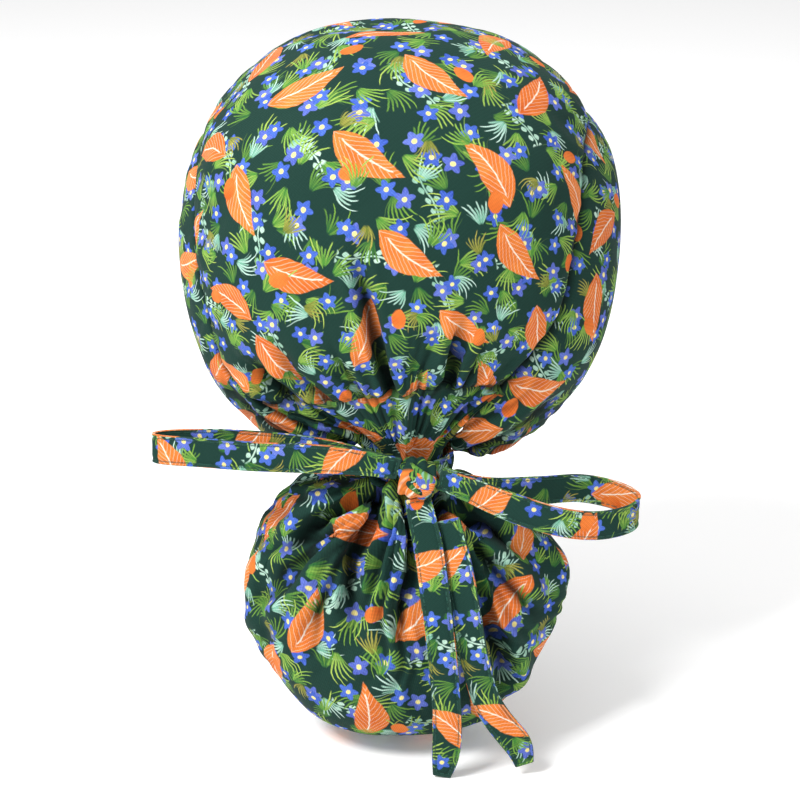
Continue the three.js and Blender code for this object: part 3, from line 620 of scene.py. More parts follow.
def cut_line(piece: bpy.types.Object, side: int, lean: float) -> set[tuple[int, int]]:
    """The edges of the shortest way down one side of the bag, from its mouth to its foot.

    Args:
        piece: The bag's open skin.
        side: -1 for the left side and 1 for the right.
        lean: How far behind the neck's middle the side line lies.

    Returns:
        The edges' keys.
    """
    points = points_of(piece)
    mouth = [point for loop in open_edges(piece) for point in loop]
    start = max(mouth, key=lambda point: side * points[point][0])
    foot = int(np.argmin(points[:, 2]))
    nexts: dict[int, list[int]] = {}
    for edge in piece.data.edges:
        a, b = edge.vertices
        nexts.setdefault(a, []).append(b)
        nexts.setdefault(b, []).append(a)
    across = side * (points[:, 0] - NECK[0])
    away = np.abs(np.arctan2(across, -(points[:, 1] - NECK[1] + lean)) - math.pi / 2)
    cost = {start: 0.0}
    came: dict[int, int] = {}
    queue = [(0.0, start)]
    while queue:
        so_far, point = heapq.heappop(queue)
        if point == foot:
            break
        for other in nexts[point]:
            step = float(np.linalg.norm(points[other] - points[point]))
            step *= 1 + 6 * float(away[other])
            if so_far + step < cost.get(other, math.inf):
                cost[other] = so_far + step
                came[other] = point
                heapq.heappush(queue, (so_far + step, other))
    line = set()
    point = foot
    while point != start:
        line.add((min(point, came[point]), max(point, came[point])))
        point = came[point]
    return line


def finish_modifier(piece: bpy.types.Object, kind: str, **settings: object) -> None:
    """Adds a modifier with its settings and applies it."""
    only(piece)
    made = piece.modifiers.new(kind.lower(), kind)
    for key, value in settings.items():
        setattr(made, key, value)
    bpy.ops.object.modifier_apply(modifier=made.name)


def subdivide(piece: bpy.types.Object, levels: int) -> None:
    """Makes a piece finer and smoother."""
    if levels:
        smooth = {"boundary_smooth": "PRESERVE_CORNERS"}
        finish_modifier(piece, "SUBSURF", levels=levels, render_levels=levels, **smooth)


def open_edges(piece: bpy.types.Object) -> list[list[int]]:
    """The loops of points along a sheet's open edges, each in order."""
    count: dict[tuple[int, int], int] = {}
    for face in piece.data.polygons:
        for key in face.edge_keys:
            count[key] = count.get(key, 0) + 1
    nexts: dict[int, list[int]] = {}
    for (a, b), times in count.items():
        if times == 1:
            nexts.setdefault(a, []).append(b)
            nexts.setdefault(b, []).append(a)
    loops = []
    seen: set[int] = set()
    for start in nexts:
        if start in seen:
            continue
        loop = [start]
        seen.add(start)
        while True:
            further = [point for point in nexts[loop[-1]] if point not in seen]
            if not further:
                break
            seen.add(further[0])
            loop.append(further[0])
        loops.append(loop)
    return loops


def sharp_keys(piece: bpy.types.Object, limit: float) -> set[tuple[int, int]]:
    """Finds a closed piece's sharp edges.

    Args:
        piece: The piece.
        limit: The cosine of the angle between two faces from which their edge counts as sharp.

    Returns:
        The edges' keys.
    """
    normals: dict[tuple[int, int], list[Vector]] = {}
    for face in piece.data.polygons:
        for key in face.edge_keys:
            normals.setdefault(key, []).append(face.normal.copy())
    return {key for key, pair in normals.items() if len(pair) == 2 and pair[0].dot(pair[1]) < limit}


def measure_edges(
    piece: bpy.types.Object, loops: list[list[int]], sewn: Callable[[np.ndarray], bool]
) -> np.ndarray:
    """Keeps how far each point is from the edge, from a sewn edge, and along it.

    Args:
        piece: The piece.
        loops: The points along its edges, in order.
        sewn: Tells whether the edge is topstitched at a point of it.

    Returns:
        How far each point is from the nearest edge.
    """
    points = points_of(piece)
    spots = [spot for loop in loops for spot in _lengths(points, loop)]
    away, along = _nearest(points, spots)
    keep_number(piece, "edge", away)
    keep_number(piece, "along", along)
    stitched = [spot for spot in spots if sewn(points[spot[0]])]
    keep_number(piece, "sewn", _nearest(points, stitched)[0])
    return away


def _nearest(points: np.ndarray, spots: list[tuple[int, float]]) -> tuple[np.ndarray, np.ndarray]:
    """How far each point is from the nearest of some points, and the length kept with that one."""
    if not spots:
        return np.ones(len(points)), np.zeros(len(points))
    tree = tree_of([points[point] for point, _ in spots])
    found = [tree.find(point) for point in points]
    return np.array([hit[2] for hit in found]), np.array([spots[hit[1]][1] for hit in found])


def _lengths(points: np.ndarray, loop: list[int]) -> list[tuple[int, float]]:
    """Each point of a loop with the length along the loop up to it."""
    steps = np.linalg.norm(np.diff(points[loop], axis=0), axis=1)
    return list(zip(loop, np.concatenate([[0.0], np.cumsum(steps)])))


def ramp(numbers: np.ndarray, low: float, high: float) -> np.ndarray:
    """Goes smoothly from 0 at low to 1 at high."""
    share = np.clip((numbers - low) / (high - low), 0, 1)
    return share * share * (3 - 2 * share)


def bell(numbers: np.ndarray) -> np.ndarray:
    """Goes smoothly from 1 at 0 to nothing on either side."""
    return np.exp(-(numbers**2))


def ripple(points: np.ndarray, scale: float, seed: float) -> np.ndarray:
    """A smooth uneven field of about -1 to 1 with bumps of about the given size."""
    total = np.zeros(len(points))
    for step in range(6):
        angle = seed * 1.3 + step * 2.4
        way = np.array((math.cos(angle), math.sin(angle * 1.7), math.sin(angle)))
        pitch = (2 * math.pi / scale) * (0.7 + 0.13 * step)
        total += np.sin(points @ way * pitch + seed * (step + 1) * 2.1)
    return total / 3.4


def gathers(points: np.ndarray, seed: float, folds: float) -> np.ndarray:
    """The pleats that run out from the pouch's neck, from about -1 in a groove to 1 on a ridge.

    Args:
        points: Where.
        seed: What makes one cloth's pleats unlike another's.
        folds: How many there are in a full turn.

    Returns:
        The height of the pleats.
    """
    away = points - NECK
    reach = np.hypot(away[:, 0], away[:, 2])
    turn = np.arctan2(away[:, 0], away[:, 2]) + 0.05 * ripple(points, 0.05, seed)
    slow = np.cos(turn * folds * 0.37 + seed * 3 + reach * 30)
    main = np.cos(turn * folds + 1.4 * slow + seed)
    fine = np.cos(turn * folds * 1.7 + seed * 5 - reach * 40)
    ridge = 1 - 2 * np.exp(-((1 - np.abs(main)) / 0.32) ** 1.5)
    return (0.75 * ridge + 0.25 * fine) * (0.65 + 0.35 * slow)


def seen(points: np.ndarray) -> np.ndarray:
    """Where points lie in the view from behind and 20 degrees above, in millimetres across and up.

    Args:
        points: The points.

    Returns:
        One row each, measured at the middle of the cap.
    """
    away = (points - np.array((-0.001, -0.0268, -0.0738))) * 1000
    rise = math.radians(20)
    depth = -away[:, 1] * math.cos(rise) + away[:, 2] * math.sin(rise)
    larger = 1200 / (1200 - depth)
    up = away[:, 1] * math.sin(rise) + away[:, 2] * math.cos(rise)
    return np.stack([away[:, 0] * larger, up * larger], 1)


@dataclass(frozen=True)
class Crease:
    """A deep fold that is pressed into a cloth along a line, with painted shade in its groove.

    Attributes:
        line: The line as seen from behind, in millimetres, from its shallow end to its deep end.
        depth: How deep it is.
        wide: The half width of its groove in millimetres.
        lip: How high the cloth stands beside it, as a share of the depth.
    """

    line: tuple[tuple[float, float], ...]
    depth: float
    wide: float
    lip: float = 0.4

    def press(self, spots: np.ndarray) -> tuple[np.ndarray, np.ndarray]:
        """How far each point is moved outwards, and how strongly painted shade darkens it in the
        fold.

        Args:
            spots: The points as seen from behind.

        Returns:
            The moves, below 0 in the groove, and the shares of painted shade, of 0 to 1.
        """
        line = np.array(self.line)
        lengths = np.linalg.norm(np.diff(line, axis=0), axis=1)
        total = lengths.sum()
        best = np.full(len(spots), np.inf)
        share = np.zeros(len(spots))
        done = 0.0
        for start, end, length in zip(line[:-1], line[1:], lengths):
            way = end - start
            along = np.clip(((spots - start) @ way) / length**2, 0, 1)
            off = np.linalg.norm(spots - start - along[:, None] * way, axis=1)
            closer = off < best
            best = np.where(closer, off, best)
            share = np.where(closer, (done + along * length) / total, share)
            done += length
        wide = self.wide * (1.5 - 0.7 * share)
        strength = ramp(share, -0.1, 0.3)
        lip = self.lip * bell((best - LIP_AWAY * wide) / (LIP_WIDE * wide))
        # Painted shade: strongest on the crease's line and fading to either side.
        shade = strength * bell(best / (wide * SHADE_WIDE)) * min(1.0, self.depth / SHADE_DEPTH)
        return self.depth * strength * (lip - bell(best / wide)), shade


@dataclass
class Sheet:
    """A piece of printed cloth that starts from the outer skin of its solid.

    Attributes:
        node: The solid that it stands for.
        name: The piece's name.
        middle: A point inside its hollow.
        flat: The width and length that it was cut from; not used.
        area: Its flat area; not used.
        rests_on: What it is sewn to or drawn in by; not used.
        folds: How many pleats there are in a full turn about the neck.
        depth: How deep they are.
        reach: How far from the neck they have faded.
        pucker: How deep the seam's puckers are.
        billow: How high its slow waves are.
        shrink: How much smaller the cloth wants to be in the simulation; below 0 it is larger.
        pressure: How much the cloth is puffed.
        cap: How far the simulation may move a point.
        seed: What makes it unlike the others.
        wall: The thickness of the solid's wall.
        thick: The cloth's thickness with its lining and hems.
        coarse: How many times it is made finer before the simulation.
        fine: How many times it is made finer after it.
        dip: How far its edges are drawn in by their seams.
        tuck: How far its seam allowances reach under the next piece.
        sink: How far they are turned in.
        joins: The solids that it is sewn to from below.
        creases: Its deep folds.
        kept: The share of its triangles that is kept.
    """

    node: str
    name: str
    middle: tuple[float, float, float]
    flat: tuple[float, float]
    area: float
    rests_on: tuple[str, ...]
    folds: float = 34.0
    depth: float = 0.0017
    reach: float = 0.1
    pucker: float = 0.0007
    billow: float = 0.0012
    shrink: float = -0.03
    pressure: float = 3.0
    cap: float = 0.0028
    seed: float = 1.0
    wall: float = 0.0014
    thick: float = 0.0011
    coarse: int = 2
    fine: int = 1
    dip: float = 0.0016
    tuck: float = 0.0009
    sink: float = 0.0027
    joins: tuple[str, ...] = ()
    creases: tuple[Crease, ...] = ()
    kept: float = 1.0

    def cuts(self, piece: bpy.types.Object) -> set[tuple[int, int]]:
        """The edges along which the cloth is cut open to lie flat."""
        return set()

    def sewn(self, point: np.ndarray) -> bool:
        """Whether the edge is topstitched at a point."""
        return False

    def pinned(self, points: np.ndarray, edge: np.ndarray) -> np.ndarray:
        """How firmly each point is held in the simulation, from 0 to 1."""
        neck = np.linalg.norm(points - NECK, axis=1)
        return np.maximum(1 - ramp(edge, 0.001, 0.012), 1 - ramp(neck, 0.03, 0.055))

    def wave(self, piece: bpy.types.Object, edge: np.ndarray) -> None:
        """Gives the sheet its slow waves and the puckers beside its seams.

        Args:
            piece: The sheet.
            edge: How far each point is from its edge.
        """
        points = points_of(piece)
        numbers = np.empty(len(points), np.float32)
        piece.data.attributes["along"].data.foreach_get("value", numbers)
        uneven = 1.5 * ripple(points, 0.04, self.seed + 2)
        wave = np.cos(numbers * (2 * math.pi / PUCKER_PITCH) + uneven)
        height = self.pucker * (0.6 + 0.4 * ripple(points, 0.05, self.seed))
        pucker = height * wave * np.exp(-edge / PUCKER_FADE) * ramp(edge, 0.0, 0.0015)
        slow = self.billow * ripple(points, WAVE_SIZE, self.seed) * ramp(edge, 0.004, 0.03)
        move_points(piece, points + normals_of(piece) * (slow + pucker)[:, None])

    def fold_and_painted_shade(self, piece: bpy.types.Object, edge: np.ndarray) -> None:
        """Presses the pleats and deep folds in, draws the edges in and keeps their painted shade.

        Args:
            piece: The sheet.
            edge: How far each point is from its edge.
        """
        points = points_of(piece)
        normals = normals_of(piece)
        neck = np.linalg.norm(points - NECK, axis=1)
        near = ramp(neck, 0.018, 0.034) * (1 - ramp(neck, self.reach * 0.4, self.reach))
        heights = gathers(points, self.seed, self.folds)
        pleats = self.depth * heights * near
        inside = ramp(edge, 0.0, 0.004)
        offset = pleats * (0.25 + 0.75 * inside)
        facing = ramp(-normals[:, 1] + normals[:, 2] * 0.36, -0.15, 0.15)
        behind = ramp(-points[:, 1], 0.03, 0.06) * facing
        spots = seen(points)
        drawn = ramp(neck, 0.03, 0.05) * (0.25 + 0.75 * ramp(neck, 0.055, 0.085))
        # Painted shade, kept for the material: darker along the seams, in the pleats' grooves and
        # in the creases, where shade falls.
        dark = SEAM_SHADE * bell(edge / SEAM_SHADE_WIDTH) * drawn
        dark += PLEAT_SHADE * np.clip(-heights, 0, 1) * near
        for crease in self.creases:
            moves, deep = crease.press(spots)
            offset += moves * behind * (0.3 + 0.7 * inside)
            dark += deep * behind
        keep_number(piece, "fold_and_painted_shade", np.clip(dark, 0, 1))
        offset -= self.dip * bell(edge / SEAM_DIP_WIDTH) * drawn
        move_points(piece, points + normals * offset[:, None])

    def turn_in(self, piece: bpy.types.Object) -> None:
        """Turns the sheet's open edges in as seam allowances, so that sewn pieces meet.

        Args:
            piece: The sheet.
        """
        points = points_of(piece)
        normals = normals_of(piece)
        rim = {point for loop in open_edges(piece) for point in loop}
        out = {point: np.zeros(3) for point in rim}
        for edge in piece.data.edges:
            for a, b in (tuple(edge.vertices), tuple(reversed(edge.vertices))):
                if a in rim and b not in rim:
                    out[a] += points[a] - points[b]
        others = [vertex.co for node in self.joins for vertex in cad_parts[node].data.vertices]
        beside = tree_of(others)
        tree = tree_of([points[point] for point in rim])
        places = []
        for point in rim:
            way = out[point] - normals[point] * float(out[point] @ normals[point])
            way /= max(float(np.linalg.norm(way)), 1e-9)
            joined = others and beside.find(points[point])[2] < SEAM_NEAR
            tuck = SEAM_TUCK if joined else self.tuck
            places.append(points[point] + way * tuck - normals[point] * self.sink)
        unwanted = ("use_wire", "use_multi_face", "use_non_contiguous", "use_verts")
        with editing(piece, "DESELECT"):
            bpy.ops.mesh.select_mode(type="EDGE")
            bpy.ops.mesh.select_non_manifold(**dict.fromkeys(unwanted, False))
            bpy.ops.mesh.extrude_region_move()
        moved = points_of(piece)
        for vertex in piece.data.vertices:
            if vertex.select:
                moved[vertex.index] = places[tree.find(vertex.co)[1]]
        move_points(piece, moved)

    def relax(self, piece: bpy.types.Object, edge: np.ndarray) -> None:
        """Lets the sheet settle as cloth, held at its seams, and keeps each point near its place.

        Args:
            piece: The sheet.
            edge: How far each point is from its edge.
        """
        before = points_of(piece)
        held = self.pinned(before, edge)
        group = piece.vertex_groups.new(name="held")
        for number, weight in enumerate(held):
            group.add([number], float(weight), "REPLACE")
        only(piece)
        cloth = piece.modifiers.new("cloth", "CLOTH")
        for key, value in {
            "quality": 5,
            "mass": 0.15,
            "tension_stiffness": 12,
            "compression_stiffness": 12,
            "shear_stiffness": 4,
            "bending_stiffness": 0.02,
            "air_damping": 3,
            "shrink_min": self.shrink,
            "shrink_max": self.shrink,
            "use_pressure": True,
            "uniform_pressure_force": self.pressure,
            "vertex_group_mass": "held",
            "pin_stiffness": 1,
        }.items():
            setattr(cloth.settings, key, value)
        cloth.settings.effector_weights.gravity = 0.0
        cloth.collision_settings.use_collision = False
        cloth.point_cache.frame_start = 1
        cloth.point_cache.frame_end = CLOTH_FRAMES
        for number in range(1, CLOTH_FRAMES + 1):
            bpy.context.scene.frame_set(number)
        bpy.ops.object.modifier_apply(modifier="cloth")
        bpy.context.scene.frame_set(1)
        after = points_of(piece)
        way = after - before
        size = np.linalg.norm(way, axis=1)
        allowed = self.cap * np.tanh(size / self.cap)
        move_points(piece, before + way * (allowed / np.maximum(size, 1e-9))[:, None])
        piece.vertex_groups.clear()

    def make(self) -> bpy.types.Object:
        """Makes the cloth.

        Returns:
            The finished piece.
        """
        piece = solid_copy(self.node, self.name)
        keep_faces(piece, outer_faces(piece, self.wall, np.array(self.middle)))
        pair_faces(piece)
        lay_flat(piece, self.cuts(piece))
        subdivide(piece, self.coarse)
        edge = measure_edges(piece, open_edges(piece), self.sewn)
        self.wave(piece, edge)
        self.relax(piece, edge)
        subdivide(piece, self.fine)
        self.fold_and_painted_shade(piece, measure_edges(piece, open_edges(piece), self.sewn))
        if self.kept < 1:
            finish_modifier(piece, "DECIMATE", ratio=self.kept)
        self.turn_in(piece)
        finish_modifier(piece, "SOLIDIFY", thickness=self.thick, offset=-1.0)
        return piece


@dataclass
class Crown(Sheet):
    """The puffed crown, topstitched along its lower edge over the pouch's neck."""

    node: str = "crown"
    name: str = "crown_cloth"
    middle: tuple[float, float, float] = (0.0, 0.0, 0.0)
    flat: tuple[float, float] = (0.3, 0.26)
    area: float = 0.056
    rests_on: tuple[str, ...] = ("band_cloth",)
    seed: float = 1.0
    creases: tuple[Crease, ...] = (
        Crease(
            ((-23, 75), (-20, 59), (-16, 46), (-11, 25), (-8, 13), (-5, 5), (-1, -5), (3, -16)),
            0.0065,
            2.72,
        ),
        Crease(((32, 40), (28, 22), (25, 9), (17, 0), (11, -7), (6, -17)), 0.0065, 2.55),
        Crease(((-75, 20), (-69, 11), (-61, 5), (-50, -3), (-38, -11), (-26, -16)), 0.0078, 2.72),
        Crease(((-66, 30), (-54, 12), (-38, 0), (-20, -10)), 0.0031, 2.98),
        Crease(((58, 12), (44, -1), (30, -10), (20, -18)), 0.0047, 2.72),
        Crease(((-34, 22), (-24, 6), (-14, -8), (-5, -18)), 0.0034, 2.55),
        Crease(((44, 30), (36, 12), (24, -4), (12, -16)), 0.0037, 2.38),
    )

    def sewn(self, point: np.ndarray) -> bool:
        """Only the lower edge is topstitched."""
        return bool(point[2] < -0.036 and point[1] < -0.078)


@dataclass
class Band(Sheet):
    """The band round the face opening, whose upper seam allowance lies under the crown."""

    node: str = "band"
    name: str = "band_cloth"
    middle: tuple[float, float, float] = (0.0, 0.0, -0.01)
    flat: tuple[float, float] = (0.6, 0.13)
    area: float = 0.056
    rests_on: tuple[str, ...] = ("crown_cloth",)
    billow: float = 0.0008
    cap: float = 0.0024
    joins: tuple[str, ...] = ("crown",)
    seed: float = 2.0
    creases: tuple[Crease, ...] = (
        Crease(((-92, 10), (-76, -8), (-56, -20), (-34, -27)), 0.0047, 2.89),
        Crease(((-80, -16), (-60, -26), (-38, -31)), 0.0043, 2.55),
        Crease(((84, 4), (66, -12), (48, -22), (30, -28)), 0.0047, 2.89),
        Crease(((76, -14), (58, -24), (38, -31)), 0.0040, 2.55),
    )


@dataclass
class Casing(Sheet):
    """The gathered casing that leads from the crown and the band to the pouch's neck."""

    node: str = "nape_casing"
    name: str = "nape_casing_cloth"
    middle: tuple[float, float, float] = (0.0017, -0.066, -0.075)
    flat: tuple[float, float] = (0.16, 0.04)
    area: float = 0.0064
    rests_on: tuple[str, ...] = ("crown_cloth", "band_cloth", "wrap_tie")
    depth: float = 0.0008
    pucker: float = 0.0
    billow: float = 0.0
    dip: float = 0.0
    tuck: float = 0.0015
    seed: float = 3.0

    def relax(self, piece: bpy.types.Object, edge: np.ndarray) -> None:
        """The drawn-in casing is too tight to move."""


@dataclass
class Pouch(Sheet):
    """The hair pouch, gathered at its neck and closed at its foot."""

    node: str = "pouch"
    name: str = "pouch_cloth"
    middle: tuple[float, float, float] = (0.0017, -0.08, -0.15)
    flat: tuple[float, float] = (0.4, 0.16)
    area: float = 0.055
    rests_on: tuple[str, ...] = ("wrap_tie",)
    folds: float = 24.0
    depth: float = 0.003
    reach: float = 0.14
    pucker: float = 0.0
    billow: float = 0.0016
    shrink: float = -0.04
    cap: float = 0.003
    seed: float = 4.0
    kept: float = 0.84
    creases: tuple[Crease, ...] = (
        Crease(
            ((-56, -74), (-46, -66), (-38, -60), (-26, -54), (-16, -49), (-8, -45)), 0.0096, 2.89
        ),
        Crease(
            ((-24, -112), (-25, -94), (-24, -80), (-18, -69), (-12, -54), (-7, -46)), 0.0116, 3.06
        ),
        Crease(((1, -124), (1, -104), (6, -88), (7, -68), (2, -50)), 0.0070, 2.72),
        Crease(
            ((49, -154), (52, -136), (48, -119), (37, -102), (27, -80), (20, -58), (15, -48)),
            0.0109,
            2.89,
        ),
        Crease(((62, -76), (52, -68), (37, -62), (24, -54), (16, -48)), 0.0081, 2.72),
        Crease(((-66, -96), (-58, -84), (-46, -76), (-34, -66)), 0.0047, 3.40),
        Crease(((70, -110), (62, -100), (50, -88), (38, -74)), 0.0047, 3.40),
        Crease(((-44, -128), (-42, -108), (-34, -86), (-22, -66)), 0.0040, 3.74),
    )

    def cuts(self, piece: bpy.types.Object) -> set[tuple[int, int]]:
        """The bag lies flat when it is opened along both its sides."""
        return cut_line(piece, -1, 0.008) | cut_line(piece, 1, 0.008)


@dataclass
class Strap:
    """A folded and topstitched tie that starts from its solid.

    Attributes:
        node: The solid that it stands for.
        name: The piece's name.
        length: How long the strap is; not used.
        rests_on: What it hangs from; not used.
        wave: How high its uneven waves are.
        seed: What makes it unlike the others.
        wide: The strap's width; not used.
        finer: How many times it is made finer.
    """

    node: str
    name: str
    length: float
    rests_on: tuple[str, ...]
    wave: float = 0.0006
    seed: float = 1.0
    wide: float = 0.014
    finer: int = 3

    def make(self) -> bpy.types.Object:
        """Makes the strap.

        Returns:
            The finished piece.
        """
        piece = solid_copy(self.node, self.name)
        pair_faces(piece)
        sharp = sharp_keys(piece, 0.5)
        keys = (tuple(sorted(edge.vertices)) for edge in piece.data.edges)
        creased = [TIE_CREASE if key in sharp else 0.0 for key in keys]
        crease = piece.data.attributes.new("crease_edge", "FLOAT", "EDGE")
        crease.data.foreach_set("value", creased)
        lay_flat(piece, sharp)
        subdivide(piece, self.finer)
        on_edge = sorted({point for key in sharp_keys(piece, math.cos(0.6)) for point in key})
        edge = measure_edges(piece, [on_edge], lambda point: True)
        points = points_of(piece)
        facing = normals_of(piece)
        inner = ramp(edge, 0.0, 0.003)
        lift = ripple(points, 0.022, self.seed) * 0.6 + ripple(points, 0.05, self.seed + 3)
        slow = np.stack([ripple(points, 0.09, self.seed + k) for k in (5, 7, 9)], 1) * self.wave
        dent = -0.00035 * bell((edge - STITCH_IN / MM) / 0.0007)
        height = self.wave * lift * inner * 0.5 + dent * ramp(edge, 0, 0.0012)
        move_points(piece, points + slow + facing * height[:, None])
        return piece


@dataclass
class Knot:
    """The bow's knot: a gathered core with the tie passed over it twice.

    Attributes:
        name: The piece's name.
        middle: Its middle.
        half: Its half sizes across, back and up.
    """

    name: str = "bow_knot"
    middle: tuple[float, float, float] = (0.0077, -0.1009, -0.0865)
    half: tuple[float, float, float] = (0.0095, 0.006, 0.0085)

    def turn_of_tie(
        self, name: str, tilt: float, wide: float, grow: float, shift: float
    ) -> bpy.types.Object:
        """One turn of the tie round the core.

        Args:
            name: The turn's name.
            tilt: How far it leans, in radians.
            wide: The tie's drawn-in width.
            grow: How much larger than the core it lies.
            shift: How far it lies to the side.

        Returns:
            The turn as a piece of its own.
        """
        bpy.ops.object.select_all(action="DESELECT")
        bpy.ops.mesh.primitive_cylinder_add(vertices=24, depth=1.0, end_fill_type="NOTHING")
        piece = bpy.context.object
        piece.name = name
        finish_modifier(piece, "SUBSURF", levels=4, render_levels=4, subdivision_type="SIMPLE")
        points = points_of(piece)
        around = np.arctan2(points[:, 1], points[:, 0])
        across = points[:, 2] * 2
        pinch = 0.78 + 0.22 * np.cos(around) ** 2
        rows = 0.075 * np.cos(across * 7.5 + 0.8 * np.sin(around * 2))
        rows += 0.03 * np.cos(around * 5 + across * 3)
        curl = 1 - 0.16 * np.abs(across) ** 3
        radius = grow * (curl + rows)
        side = across * wide / 2 * pinch + shift
        back = self.half[1] * radius * np.cos(around)
        up = self.half[2] * radius * np.sin(around)
        right = side * math.cos(tilt) + up * math.sin(tilt)
        high = up * math.cos(tilt) - side * math.sin(tilt)
        move_points(piece, np.stack([right, back, high], 1) + np.array(self.middle))
        return piece

    def make(self) -> bpy.types.Object:
        """Makes the knot.

        Returns:
            The finished piece.
        """
        core = solid_copy("tie_knot", self.name)
        pair_faces(core)
        subdivide(core, 2)
        points = points_of(core) - np.array(self.middle)
        turn = np.arctan2(points[:, 2], points[:, 0])
        rows = 0.05 * np.cos(turn * 9 + points[:, 1] * 300)
        deep = 0.95 - rows - 0.04 * ripple(points, 0.009, 2.0)
        move_points(core, points * deep[:, None] + np.array(self.middle))
        halfway = np.abs(points_of(core)[:, 1] - self.middle[1]) < 0.0004
        keys = (tuple(sorted(edge.vertices)) for edge in core.data.edges)
        lay_flat(core, {(a, b) for a, b in keys if halfway[a] and halfway[b]})
        turns = [
            self.turn_of_tie("bow_knot_turn", 0.3, 0.0165, 1.12, -0.0008),
            self.turn_of_tie("bow_knot_end", -0.95, 0.011, 1.2, 0.0012),
        ]
        for piece in turns:
            with editing(piece):
                bpy.ops.mesh.normals_make_consistent(inside=False)
            lay_flat(piece, set())
            finish_modifier(piece, "SOLIDIFY", thickness=0.0011, offset=0.0)
        only(core)
        for piece in turns:
            piece.select_set(True)
        bpy.ops.object.join()
        measure_edges(core, [[]], lambda point: False)
        return core


@dataclass
class Wrap:
    """The turn of the tie that draws the pouch's neck in."""

    node: str = "tie_wrap"
    name: str = "wrap_tie"

    def make(self) -> bpy.types.Object:
        """Makes the turn of tie.

        Returns:
            The finished piece.
        """
        rests_on = ("nape_casing_cloth",)
        strap = Strap(self.node, self.name, 0.13, rests_on, wave=0.0003, seed=6.0, finer=2)
        piece = strap.make()
        points = points_of(piece)
        away = points - NECK
        turn = np.arctan2(away[:, 0], -away[:, 1])
        out = np.stack([np.sin(turn), -np.cos(turn), np.zeros(len(turn))], 1)
        lumps = 0.0007 * np.cos(turn * 13) + 0.0004 * np.cos(turn * 29 + away[:, 2] * 400)
        outer = ramp(np.hypot(away[:, 0], away[:, 1]), 0.021, 0.022)
        move_points(piece, points + out * (lumps * outer)[:, None])
        return piece


@dataclass
class ScrubCap:
    """The whole cap with its cloths and ties."""

    cloths: tuple[Sheet, ...]
    straps: tuple[Strap, ...]

    def dress(
        self, piece: bpy.types.Object, node: str, finish: bpy.types.Material
    ) -> None:
        """Gives a finished piece its material and its place in the frame, and reports it.

        Args:
            piece: The piece.
            node: The solid that it stands for.
            finish: Its material.
        """
        piece.data.materials.clear()
        piece.data.materials.append(finish)
        only(piece)
        bpy.ops.object.shade_smooth()
        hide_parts(node)
        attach(piece, "root")
        triangles = sum(len(face.vertices) - 2 for face in piece.data.polygons)
        area = sum(face.area for face in piece.data.polygons) / 2
        log.info("%s for %s: %d triangles, %.4f square metres", piece.name, node, triangles, area)

    def make(self) -> None:
        """Makes and dresses every piece."""
        cotton = PrintedTwill("printed_cotton").make()
        tie_cotton = PrintedTwill("printed_cotton_tie", ground=(23, 54, 47)).make()
        for cloth in self.cloths:
            piece = cloth.make()
            self.dress(piece, cloth.node, cotton)
        wrap = Wrap()
        piece = wrap.make()
        self.dress(piece, wrap.node, tie_cotton)
        self.dress(Knot().make(), "tie_knot", tie_cotton)
        for strap in self.straps:
            piece = strap.make()
            self.dress(piece, strap.node, tie_cotton)


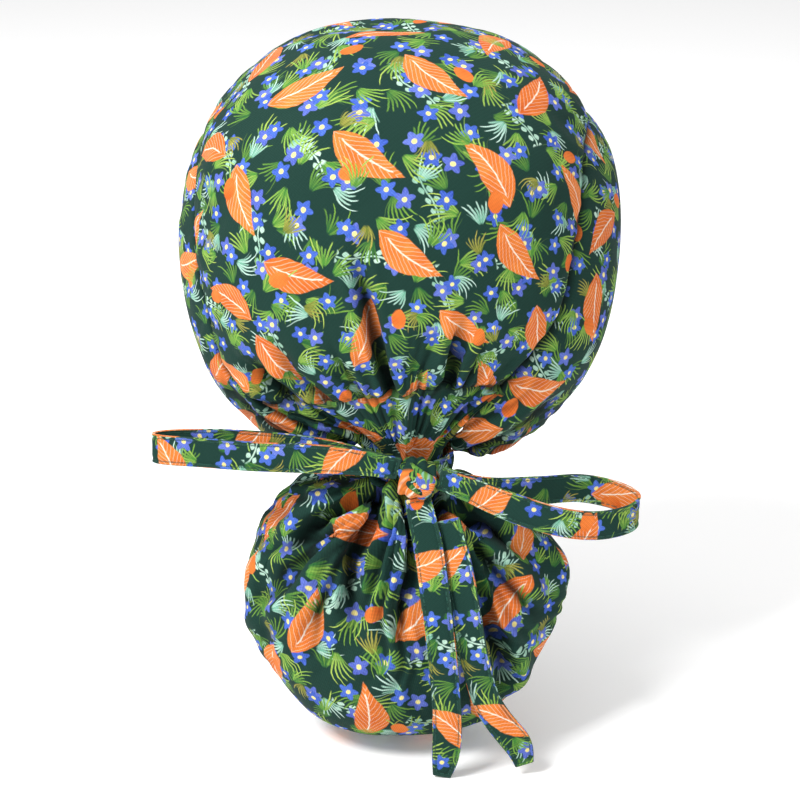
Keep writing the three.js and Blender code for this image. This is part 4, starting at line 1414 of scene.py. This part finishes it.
@dataclass(frozen=True)
class Studio:
    """The pale floor, the soft lights and the camera.

    Attributes:
        target: Where the camera looks.
        distance: How far it stands.
        elevation: How high it stands, in radians.
        lens: Its focal length and its sensor's width in millimetres.
        lights: Each light's name, place, width and power.
        sky: How bright the light from all round is.
    """

    target: tuple[float, float, float] = (-0.001, -0.0268, -0.0738)
    distance: float = 1.2
    elevation: float = math.radians(20)
    lens: tuple[float, float] = (108, 36)
    lights: tuple[tuple[str, tuple[float, float, float], float, float], ...] = (
        ("key", (-1.05, -0.9, 1.45), 0.6, 46),
        ("fill", (1.3, -1.4, 0.6), 1.4, 6),
        ("top", (-0.1, 0.4, 1.6), 1.4, 14),
    )
    sky: float = 0.55

    def light(
        self, name: str, place: tuple[float, float, float], size: float, power: float
    ) -> None:
        """Adds a soft light that faces the cap.

        Args:
            name: The light's name.
            place: Where it hangs.
            size: How wide it is.
            power: How strong it is, in watts.
        """
        data = bpy.data.lights.new(name, "AREA")
        data.size = size
        data.energy = power
        lamp = bpy.data.objects.new(name, data)
        bpy.context.scene.collection.objects.link(lamp)
        lamp.location = place
        way = Vector(self.target) - Vector(place)
        lamp.rotation_euler = way.to_track_quat("-Z", "Y").to_euler()

    def make(self) -> None:
        """Sets the studio up."""
        bpy.ops.object.select_all(action="DESELECT")
        bpy.ops.mesh.primitive_plane_add(size=14, location=(0, 0, FLOOR))
        floor = bpy.context.object
        floor.name = "studio_floor"
        paint = Paint("pale_floor")
        mottle = paint.noise(paint.node("ShaderNodeTexCoord").outputs["Object"], 3.0, 2.0)
        shader = paint.node(
            "ShaderNodeBsdfPrincipled",
            None,
            {"Base Color": (0.95, 0.95, 0.95, 1.0), "Roughness": mottle * 0.1 + 0.8},
        )
        shader.inputs["Emission Color"].default_value = (1, 1, 1, 1)
        shader.inputs["Emission Strength"].default_value = 0.12
        paint.node("ShaderNodeOutputMaterial", None, {"Surface": shader.outputs[0]})
        floor.data.materials.append(paint.material)

        world = bpy.data.worlds.new("studio")
        bpy.context.scene.world = world
        world.use_nodes = True
        backdrop = world.node_tree.nodes["Background"]
        backdrop.inputs["Color"].default_value = (1, 1, 1, 1)
        backdrop.inputs["Strength"].default_value = self.sky
        bpy.context.scene.view_settings.view_transform = "Standard"
        for light in self.lights:
            self.light(*light)

        data = bpy.data.cameras.new("camera")
        data.lens, data.sensor_width = self.lens
        data.clip_start = 0.01
        camera = bpy.data.objects.new("camera", data)
        bpy.context.scene.collection.objects.link(camera)
        back = Vector((0, -math.cos(self.elevation), math.sin(self.elevation)))
        camera.location = Vector(self.target) + back * self.distance
        camera.rotation_euler = (math.pi / 2 - self.elevation, 0, 0)
        bpy.context.scene.camera = camera


def main() -> None:
    """Builds the studio and the cap."""
    logging.basicConfig(level=logging.INFO, format="%(name)s: %(message)s")
    Studio().make()
    cap = ScrubCap(
        cloths=(Crown(), Band(), Casing(), Pouch()),
        straps=(
            Strap("tie_loop_left", "bow_loop_left", 0.25, ("bow_knot",), seed=1.0),
            Strap("tie_loop_right", "bow_loop_right", 0.24, ("bow_knot",), seed=2.0),
            Strap("tie_tail_left", "bow_tail_left", 0.145, ("bow_knot",), seed=3.0, wave=0.0005),
            Strap("tie_tail_right", "bow_tail_right", 0.145, ("bow_knot",), seed=4.0, wave=0.0005),
        ),
    )
    cap.make()
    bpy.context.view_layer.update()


if __name__ == "__main__":
    main()
